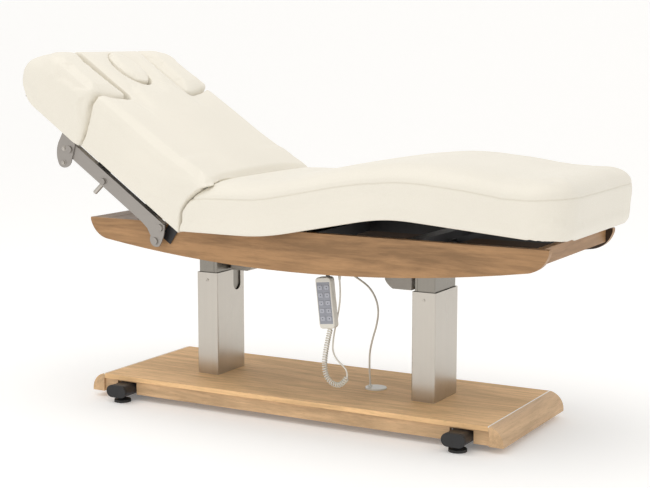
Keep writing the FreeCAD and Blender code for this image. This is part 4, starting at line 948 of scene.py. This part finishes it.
@dataclass
class LongCover(Pad):
    """The one cover that runs over the seat, the thigh section and the leg section."""

    half: float = 0.369
    head: float = -0.335
    seat_hinge: float = -0.009
    thigh_length: float = 0.458
    leg_length: float = 0.58
    height: float = 0.176
    seam: float = 0.125
    corner: float = 0.125
    edge: float = 0.05
    head_outline: tuple[tuple[float, float], ...] = (
        (0.0, 0.062), (0.004, 0.085), (0.022, 0.119), (0.05, 0.147), (0.084, 0.168),
        (0.14, 0.176))
    skirt: float = 0.043
    hollow: float = 0.044
    fold_reach: float = 0.12
    knee_reach: float = 0.125
    knee_height: float = 0.741
    thigh_angle: float = 11.5
    knee_angle: float = -16.0
    sag: tuple[tuple[float, float], ...] = (
        (-0.30, -0.003), (-0.17, 0.001), (0.06, 0.005), (0.28, 0.005), (0.42, -0.001),
        (0.57, 0.003), (0.70, 0.002), (0.83, -0.005), (0.9, -0.002), (0.965, 0.006),
        (1.03, 0.015))

    @property
    def foot(self) -> float:
        """The flat pattern's foot end."""
        return self.seat_hinge + self.thigh_length + self.leg_length

    @property
    def split(self) -> float:
        """Where the cover is parted, half-way along the thigh section."""
        return self.seat_hinge + self.thigh_length / 2

    def block(self) -> bpy.types.Object:
        """The flat block with its rounded rim, foot corners and hollow underside."""
        pick_nothing()
        length = self.foot - self.head
        middle = ((self.foot + self.head) / 2, 0.0, self.bottom + self.height / 2)
        bpy.ops.mesh.primitive_cube_add(size=1.0, location=middle,
                                        scale=(length, 2 * self.half, self.height))
        obj = bpy.context.active_object
        obj.name = self.name
        settle(obj)
        top = self.bottom + self.height - 1e-4
        with editing(obj):
            choose(obj, "EDGE", lambda a, b: a.x > self.foot - 1e-4 and b.x > self.foot - 1e-4
                   and abs(a.z - b.z) > 0.1)
            bpy.ops.mesh.bevel(offset=self.corner, segments=14, affect="EDGES")
            choose(obj, "EDGE", lambda a, b: a.z > top and b.z > top)
            bpy.ops.mesh.bevel(offset=self.edge, segments=8, affect="EDGES", profile=0.5)
            choose(obj, "FACE", lambda centre, normal: normal.z < -0.9)
            bpy.ops.mesh.inset(thickness=self.skirt)
            bpy.ops.transform.translate(value=(0.0, 0.0, self.hollow))
        return obj

    def round_head(self, co: np.ndarray) -> np.ndarray:
        """Rolls the seat's head edge down."""
        out = co.copy()
        s = co[:, 0] - self.head
        wanted = np.interp(s, *zip(*self.head_outline))
        edge = np.clip(s, 0.0, self.edge) / self.edge
        given = self.height - self.edge + self.edge * np.sqrt(1.0 - (1.0 - edge) ** 2)
        h = co[:, 2] - self.bottom
        upper = np.clip((h - 0.02) / 0.1, 0.0, 1.0)
        out[:, 2] = self.bottom + h * (1.0 + upper * (np.minimum(wanted / given, 1.0) - 1.0))
        return out

    def crown(self, co: np.ndarray) -> np.ndarray:
        """Domes the top a little across the bed."""
        out = co.copy()
        h = co[:, 2] - self.bottom
        high = ramp(h, 0.13, 0.17)
        out[:, 2] += high * (0.004 - 0.012 * (co[:, 1] / self.half) ** 4)
        return out

    def bulge(self, co: np.ndarray) -> np.ndarray:
        """Fills out the foot end, most at half height."""
        out = co.copy()
        h = (co[:, 2] - self.bottom) / self.height
        full = ramp(co[:, 0], self.foot - 0.13, self.foot) * np.clip(1 - (2 * h - 1) ** 2, 0, 1)
        out[:, 0] += full * 0.021
        return out

    def lay(self, co: np.ndarray) -> np.ndarray:
        """Bends flat pattern points along the seat, thigh and leg sections."""
        steps = np.linspace(self.head - 0.02, self.foot + 0.02, 1600)
        knee = self.seat_hinge + self.thigh_length

        def angle(s: np.ndarray) -> np.ndarray:
            thigh = self.thigh_angle * ramp(s, self.seat_hinge - self.fold_reach,
                                            self.seat_hinge + self.fold_reach)
            leg = self.knee_angle * ramp(s, knee - self.knee_reach, knee + self.knee_reach)
            return np.radians(thigh + leg)

        turn = angle(steps)
        gap = steps[1] - steps[0]
        x = steps[0] + np.concatenate(([0.0], np.cumsum(np.cos(turn[:-1]) * gap)))
        z = HINGE_HEIGHT + np.concatenate(([0.0], np.cumsum(np.sin(turn[:-1]) * gap)))
        s = co[:, 0]
        here = angle(s)
        h = co[:, 2] - self.bottom
        knots = np.array(self.sag)
        rise = np.interp(s, knots[:, 0], knots[:, 1]) * ramp(h, 0.02, 0.12)
        above = co[:, 2] + rise - HINGE_HEIGHT
        out = co.copy()
        out[:, 0] = np.interp(s, steps, x) - above * np.sin(here)
        out[:, 2] = np.interp(s, steps, z) + above * np.cos(here)
        return out

    def cut_rows(self, obj: bpy.types.Object) -> None:
        """Puts rows of edges along the seam and at the parting line."""
        with editing(obj):
            for offset in (-0.0035, 0.0, 0.0035):
                bpy.ops.mesh.select_all(action="SELECT")
                bpy.ops.mesh.bisect(plane_co=(0, 0, self.bottom + self.seam + offset),
                                    plane_no=(0, 0, 1))
            bpy.ops.mesh.select_all(action="SELECT")
            bpy.ops.mesh.bisect(plane_co=(self.split, 0, 0), plane_no=(1, 0, 0))

    def half_of(self, obj: bpy.types.Object, name: str, foot_side: bool) -> bpy.types.Object:
        """One of the cover's two lengths, closed where it is parted.

        Args:
            obj: The whole cover.
            name: The new piece's name.
            foot_side: True for the length at the foot end.

        Returns:
            The new piece.
        """
        piece = add_object(name, obj.data.copy())
        at = self.pattern(piece)[:, 0]
        mesh = bmesh.new()
        mesh.from_mesh(piece.data)
        mesh.verts.ensure_lookup_table()
        beyond = at < self.split - 1e-5 if foot_side else at > self.split + 1e-5
        bmesh.ops.delete(mesh, geom=[v for v in mesh.verts if beyond[v.index]], context="VERTS")
        rim = [e for e in mesh.edges if e.is_boundary]
        bmesh.ops.holes_fill(mesh, edges=rim, sides=0)
        mesh.to_mesh(piece.data)
        mesh.free()
        return piece

    def build(self) -> bpy.types.Object:
        """Makes the cover's two lengths.

        Returns:
            The shape that the seat presses into the back cushion.
        """
        obj = self.block()
        self.filling.remesh(obj)
        move_to(obj, self.crown(self.round_head(points_of(obj))))
        self.cut_rows(obj)
        self.keep_flat(obj)
        flat = points_of(obj)
        h = flat[:, 2] - self.bottom
        inside = (np.abs(flat[:, 1]) < self.half - 0.02) & (h < self.hollow + 0.012)
        inside &= (flat[:, 0] > self.head + 0.02) & (flat[:, 0] < self.foot - 0.02)
        free = ramp(h, 0.004, 0.05) * ~inside
        move_to(obj, self.lay(self.bulge(flat)))
        self.filling.swell(obj, free)
        form = self.half_of(obj, "seat_form", False)
        finish_modifier(obj, "SUBSURF", levels=1, render_levels=1)
        pattern = self.pattern(obj)
        on_rim = (np.abs(pattern[:, 1]) > 0.25) | (pattern[:, 0] > self.foot - 0.2)
        on_rim |= pattern[:, 0] < self.head + 0.2
        away = np.where(on_rim, np.abs(pattern[:, 2] - self.bottom - self.seam), 1.0)
        self.groove(obj, away, 0.0022, 0.0042)
        front = self.half_of(obj, self.name + "_seat", False)
        rear = self.half_of(obj, self.name + "_legs", True)
        bpy.data.objects.remove(obj)
        self.finish(front, 0.9, "seat_pad")
        self.finish(rear, 0.9, "leg_pad", "thigh_pad")
        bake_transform(front)
        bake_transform(rear)
        return form


@dataclass
class BackPads(Pad):
    """The back section's padding: body and tongue, two arm pads and the face plug."""

    section: Section | None = None
    seat: bpy.types.Object | None = None
    half: float = 0.369
    height: float = 0.176
    edge: float = 0.05
    firmness: float = 0.32
    rise: tuple[float, float, float] = (0.018, 0.022, 0.033)
    rise_back: tuple[float, float, float] = (0.7, 0.25, 0.0)
    seam_reach: float = 0.08
    seam_shift: float = 0.022
    seam_slant: float = 0.03
    rise_band: tuple[float, float] = (0.03, 0.16)
    tongue_edge: tuple[float, float] = (0.12, 0.18)
    slant_band: tuple[float, float] = (0.2, 0.36)
    outer_band: tuple[float, float] = (0.24, 0.36)
    end_reach: float = 0.16
    pad_height: float = 0.17
    lip: float = 0.118
    seat_gap: float = 0.0015
    seat_outline: tuple[tuple[float, float], ...] = (
        (0.0, -0.1), (0.0, 0.05), (0.004, 0.073), (0.022, 0.107), (0.05, 0.135), (0.084, 0.156),
        (0.14, 0.167), (0.4, 0.17), (0.4, -0.1))
    give: float = 0.2
    end_bulge: float = 0.034
    end_round: tuple[tuple[float, float], ...] = (
        (-0.013, 0.03), (0.02, 0.006), (0.05, 0.0), (0.1, 0.0), (0.15, 0.01), (0.19, 0.034))
    corner_fill: float = 0.02

    @property
    def seam_at(self) -> float:
        """Where the arm pads end on the flat pattern."""
        return float(np.max(self.section.flatten(points_of(frame["nodes"]["arm_pad_near"]))[:, 0]))

    def add_lip(self, obj: bpy.types.Object) -> None:
        """Carries the back cushion down to the seat, whose rounded edge it meets.

        Args:
            obj: The flat back cushion.
        """
        high = np.max(points_of(obj)[:, 2])
        foot = self.section.pivot.x - 0.0225
        pick_nothing()
        bpy.ops.mesh.primitive_cube_add(
            size=1.0, location=(foot, 0.0, (self.bottom + high) / 2),
            scale=(2 * self.lip, 2 * self.half, high - self.bottom))
        block = bpy.context.active_object
        settle(block)
        with editing(block):
            choose(block, "EDGE", lambda a, b: min(a.z, b.z) > high - 1e-4
                   and abs(a.x - b.x) > self.lip)
            bpy.ops.mesh.bevel(offset=self.edge, segments=8, affect="EDGES", profile=0.5)
        pick(obj)
        block.select_set(True)
        bpy.ops.object.join()
        self.filling.remesh(obj)
        move_to(obj, self.section.raise_up(self.plump(points_of(obj))))
        move_to(self.seat, points_of(self.seat) + normals_of(self.seat) * self.seat_gap)
        for cutter in (self.seat, self.seat_side()):
            finish_modifier(obj, "BOOLEAN", object=cutter, operation="DIFFERENCE",
                            solver="MANIFOLD")
            bpy.data.objects.remove(cutter)
        move_to(obj, self.section.flatten(points_of(obj)))

    def seat_side(self) -> bpy.types.Object:
        """The seat's side outline under its rounded edge, as a solid across the bed."""
        head = self.section.pivot.x - 0.001 - self.seat_gap
        outline = [(head + x, -0.4, self.bottom + z) for x, z in self.seat_outline]
        mesh = bpy.data.meshes.new("seat_side")
        mesh.from_pydata(outline, [], [tuple(range(len(outline)))])
        side = add_object("seat_side", mesh)
        with editing(side):
            bpy.ops.mesh.extrude_region_move(TRANSFORM_OT_translate={"value": (0.0, 0.8, 0.0)})
            bpy.ops.mesh.select_all(action="SELECT")
            bpy.ops.mesh.normals_make_consistent(inside=False)
        return side

    def plump(self, co: np.ndarray) -> np.ndarray:
        """Fills the flat pads out to their stuffed shape.

        Args:
            co: Points on the flat pattern.

        Returns:
            The points with a higher crown, firmer edges and the arm pads' seams set over.
        """
        out = co.copy()
        h = co[:, 2] - self.bottom
        y = np.abs(co[:, 1])
        across = np.clip((y - self.half + self.edge) / self.edge, 0.0, 1.0)
        above = np.clip((h - self.height + self.edge) / self.edge, 0.0, 1.0)
        far = np.maximum(np.maximum(across, above), 0.3)
        firm = np.where((across > 0) & (above > 0), far ** -self.firmness - 1.0, 0.0)
        out[:, 1] += np.sign(co[:, 1]) * across * firm * self.edge
        out[:, 2] += above * firm * self.edge
        low = self.section.pivot.x
        reach = [low - back for back in self.rise_back]
        rise = np.interp(co[:, 0], reach, self.rise)
        out[:, 2] += rise * ramp(h, *self.rise_band)
        near_seam = np.exp(-(((co[:, 0] - self.seam_at) / self.seam_reach) ** 2))
        over = self.seam_shift * ramp(y, *self.tongue_edge)
        over += self.seam_slant * ramp(y, *self.slant_band)
        out[:, 0] -= over * near_seam * ramp(h, 0.0, self.pad_height)
        return out

    def bulge_end(self, obj: bpy.types.Object) -> None:
        """Rounds the head end of an arm pad and fills it out, most at half height."""
        co = points_of(obj)
        end = np.min(co[:, 0])
        h = (co[:, 2] - self.bottom) / self.pad_height
        near_end = 1.0 - ramp(co[:, 0], end, end + self.end_reach)
        full = near_end * np.clip(1.0 - (2 * h - 0.8) ** 2, 0, 1)
        knots = np.array(self.end_round)
        drawn_in = np.interp(co[:, 2] - self.bottom, knots[:, 0], knots[:, 1])
        outer = ramp(np.abs(co[:, 1]), *self.outer_band)
        co[:, 0] += near_end * drawn_in - full * (self.end_bulge + outer * self.corner_fill)
        move_to(obj, co)

    def soft(self, node: str, body: str, name: str, voxel: float, fill: float,
             hold_below: float) -> bpy.types.Object:
        """Stuffs one CAD pad.

        Args:
            node: The CAD node that it stands for.
            body: The body that it rides on.
            name: The piece's name.
            voxel: The size of its mesh.
            fill: How full it is.
            hold_below: The flat height under which it is held by its board, in metres.

        Returns:
            The finished piece.
        """
        self.name = name
        obj = self.from_node(node, self.section)
        self.filling.voxel = voxel
        if node == "back_pad":
            self.add_lip(obj)
        self.filling.remesh(obj)
        if node != "back_pad":
            move_to(obj, self.plump(points_of(obj)))
        if node.startswith("arm_pad"):
            self.bulge_end(obj)
        self.keep_flat(obj)
        h = points_of(obj)[:, 2] - self.bottom
        lift = normals_of(obj)
        free = ramp(h, hold_below, hold_below + 0.05) * (lift[:, 2] > -0.5)
        self.filling.swell(obj, free)
        finish_modifier(obj, "SUBSURF", levels=1, render_levels=1)
        move_to(obj, self.section.raise_up(points_of(obj)))
        self.finish(obj, fill, node)
        if node == "back_pad":
            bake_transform(obj)
        else:
            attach(obj, body)
        return obj

    def build(self) -> None:
        """Makes the four pads of the back section."""
        self.soft("back_pad", "back", "back_cushion", 0.0085, 0.85, 0.005)
        for side in ("near", "far"):
            self.soft(f"arm_pad_{side}", f"arm_{side}", f"arm_cushion_{side}", 0.0075, 0.9, -0.01)
        self.soft("face_plug", "face_plug", "face_plug_cushion", 0.005, 0.8, 0.06)


# ---- fixings -------------------------------------------------------------------------------------


@dataclass
class Fixings:
    """The loose bolts of the arm brackets and the printed signs on the handset's keys."""

    palette: Palette
    head: float = 7.5
    washer: float = 9.5
    spots: tuple[tuple[float, float], ...] = ((-0.021, 0.003), (-0.025, -0.047))

    def bolt(self, name: str, x: float, y: float, z: float, out: float) -> bpy.types.Object:
        """A hexagon bolt with its washer.

        Args:
            name: The piece's name.
            x: Its place along the bed.
            y: The face that it sits on.
            z: Its height.
            out: 1 or -1, the way that it points.

        Returns:
            The bolt.
        """
        pick_nothing()
        turn = (math.pi / 2, 0.0, 0.0)
        bpy.ops.mesh.primitive_cylinder_add(vertices=32, radius=self.washer * MM, depth=1.6 * MM,
                                            location=(x, y + out * 0.8 * MM, z), rotation=turn)
        washer = bpy.context.active_object
        bpy.ops.mesh.primitive_cylinder_add(vertices=6, radius=self.head * MM, depth=5.4 * MM,
                                            location=(x, y + out * 4.2 * MM, z), rotation=turn)
        head = bpy.context.active_object
        head.name = name
        for piece in (washer, head):
            settle(piece)
            finish_modifier(piece, "BEVEL", width=0.5 * MM, segments=2, limit_method="ANGLE")
        pick(head)
        washer.select_set(True)
        bpy.ops.object.join()
        bpy.ops.object.shade_smooth_by_angle(angle=math.radians(32))
        self.palette.dress(head, "zinc_fixing")
        return head

    def sign(self, key: str) -> None:
        """A small raised triangle or dot on one key of the handset.

        Args:
            key: The key's CAD node.
        """
        low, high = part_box(key)
        middle = (low + high) / 2
        up = key.endswith(("raise", "sit_up"))
        down = key.endswith(("lower", "lie_flat"))
        sides = 3 if up or down else 20
        reach = 2.9 * MM if up or down else 1.9 * MM
        pick_nothing()
        bpy.ops.mesh.primitive_circle_add(vertices=sides, radius=reach, fill_type="NGON",
                                          rotation=(math.pi / 2, math.pi if down else 0.0, 0.0))
        mark = bpy.context.active_object
        mark.name = "sign_" + key
        mark.location = (middle.x, low.y - 0.05 * MM, middle.z)
        settle(mark)
        finish_modifier(mark, "SOLIDIFY", thickness=0.9 * MM, offset=0.0)
        finish_modifier(mark, "BEVEL", width=0.15 * MM, segments=2, limit_method="ANGLE")
        self.palette.dress(mark, "key_print")
        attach(mark, key)

    def build(self) -> None:
        """Makes every bolt and sign."""
        for side, out in (("near", -1.0), ("far", 1.0)):
            low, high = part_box(f"arm_bracket_{side}")
            pivot = joint(f"arm_fold_{side}")["pos_m"]
            for index, (x, z) in enumerate(self.spots):
                face = low.y if out < 0 else high.y
                bolt = self.bolt(f"arm_bolt_{side}_{index + 1}", pivot[0] + x,
                                 face + out * 0.2 * MM, pivot[2] + z, out)
                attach(bolt, f"arm_{side}")
        for node in frame["nodes"]:
            if node.startswith("key_"):
                self.sign(node)


# ---- hard parts ----------------------------------------------------------------------------------


@dataclass
class HardParts:
    """The CAD nodes that keep their shape, and the finish that each one gets."""

    palette: Palette
    by_finish: dict[str, tuple[str, ...]] = field(default_factory=lambda: {
        "oak_deck_lit": ("base_board",),
        "oak_lengthwise": ("base_aprons",),
        "oak_near_panel": ("side_panel_near",),
        "oak_far_panel": ("side_panel_far",),
        "oak_crosswise": ("head_boards", "foot_end_board"),
        "oak_moulding": ("base_end_mouldings",),
        "inlay_aluminium": ("inlay_strips",),
        "column_stainless": ("column_sleeves",),
        "shaded_inner_stainless": ("inner_columns",),
        "rail_stainless": ("side_rails", "arm_bracket_near", "arm_bracket_far"),
        "guide_moulding": ("column_guides",),
        "motor_housing": ("column_motors",),
        "ivory_moulding": ("handset_case", "cable_grommet"),
        "keypad_film": ("keypad",),
        "cord_skin": ("lead_glands",),
        "zinc_fixing": ("release_lever_near", "release_lever_far"),
        "foot_rubber": ("levelling_foot_head_near",
                        "levelling_foot_head_far", "levelling_foot_foot_near",
                        "levelling_foot_foot_far"),
        "grey_coating": ("lift_spindles", "handset_hanger"),
        "black_moulding": ("foot_bar_caps", "control_box"),
    })

    def finish_for(self, node: str) -> str:
        """The name of the finish of one CAD node."""
        for finish, nodes in self.by_finish.items():
            if node in nodes:
                return finish
        return "key_film" if node.startswith("key_") else "black_coating"

    def build(self) -> None:
        """Dresses every CAD node."""
        for node, obj in frame["nodes"].items():
            self.palette.dress(obj, self.finish_for(node))
            LOG.info("node %s: %s", node, self.finish_for(node))


def main() -> None:
    """Builds the whole scene in order."""
    logging.basicConfig(level=logging.INFO, format="%(name)s: %(message)s")
    effects = Effects()
    palette = Palette(effects)
    palette.fill()
    Studio().build()
    Cords(palette).build()
    HardParts(palette).build()
    Fixings(palette).build()
    form = LongCover("long_cover", palette).build()
    back = Section(Vector(joint("back_raise")["pos_m"]), BACK_ANGLE)
    BackPads("back_cushion", palette, Filling(), section=back, seat=form).build()


if __name__ == "__main__":
    main()
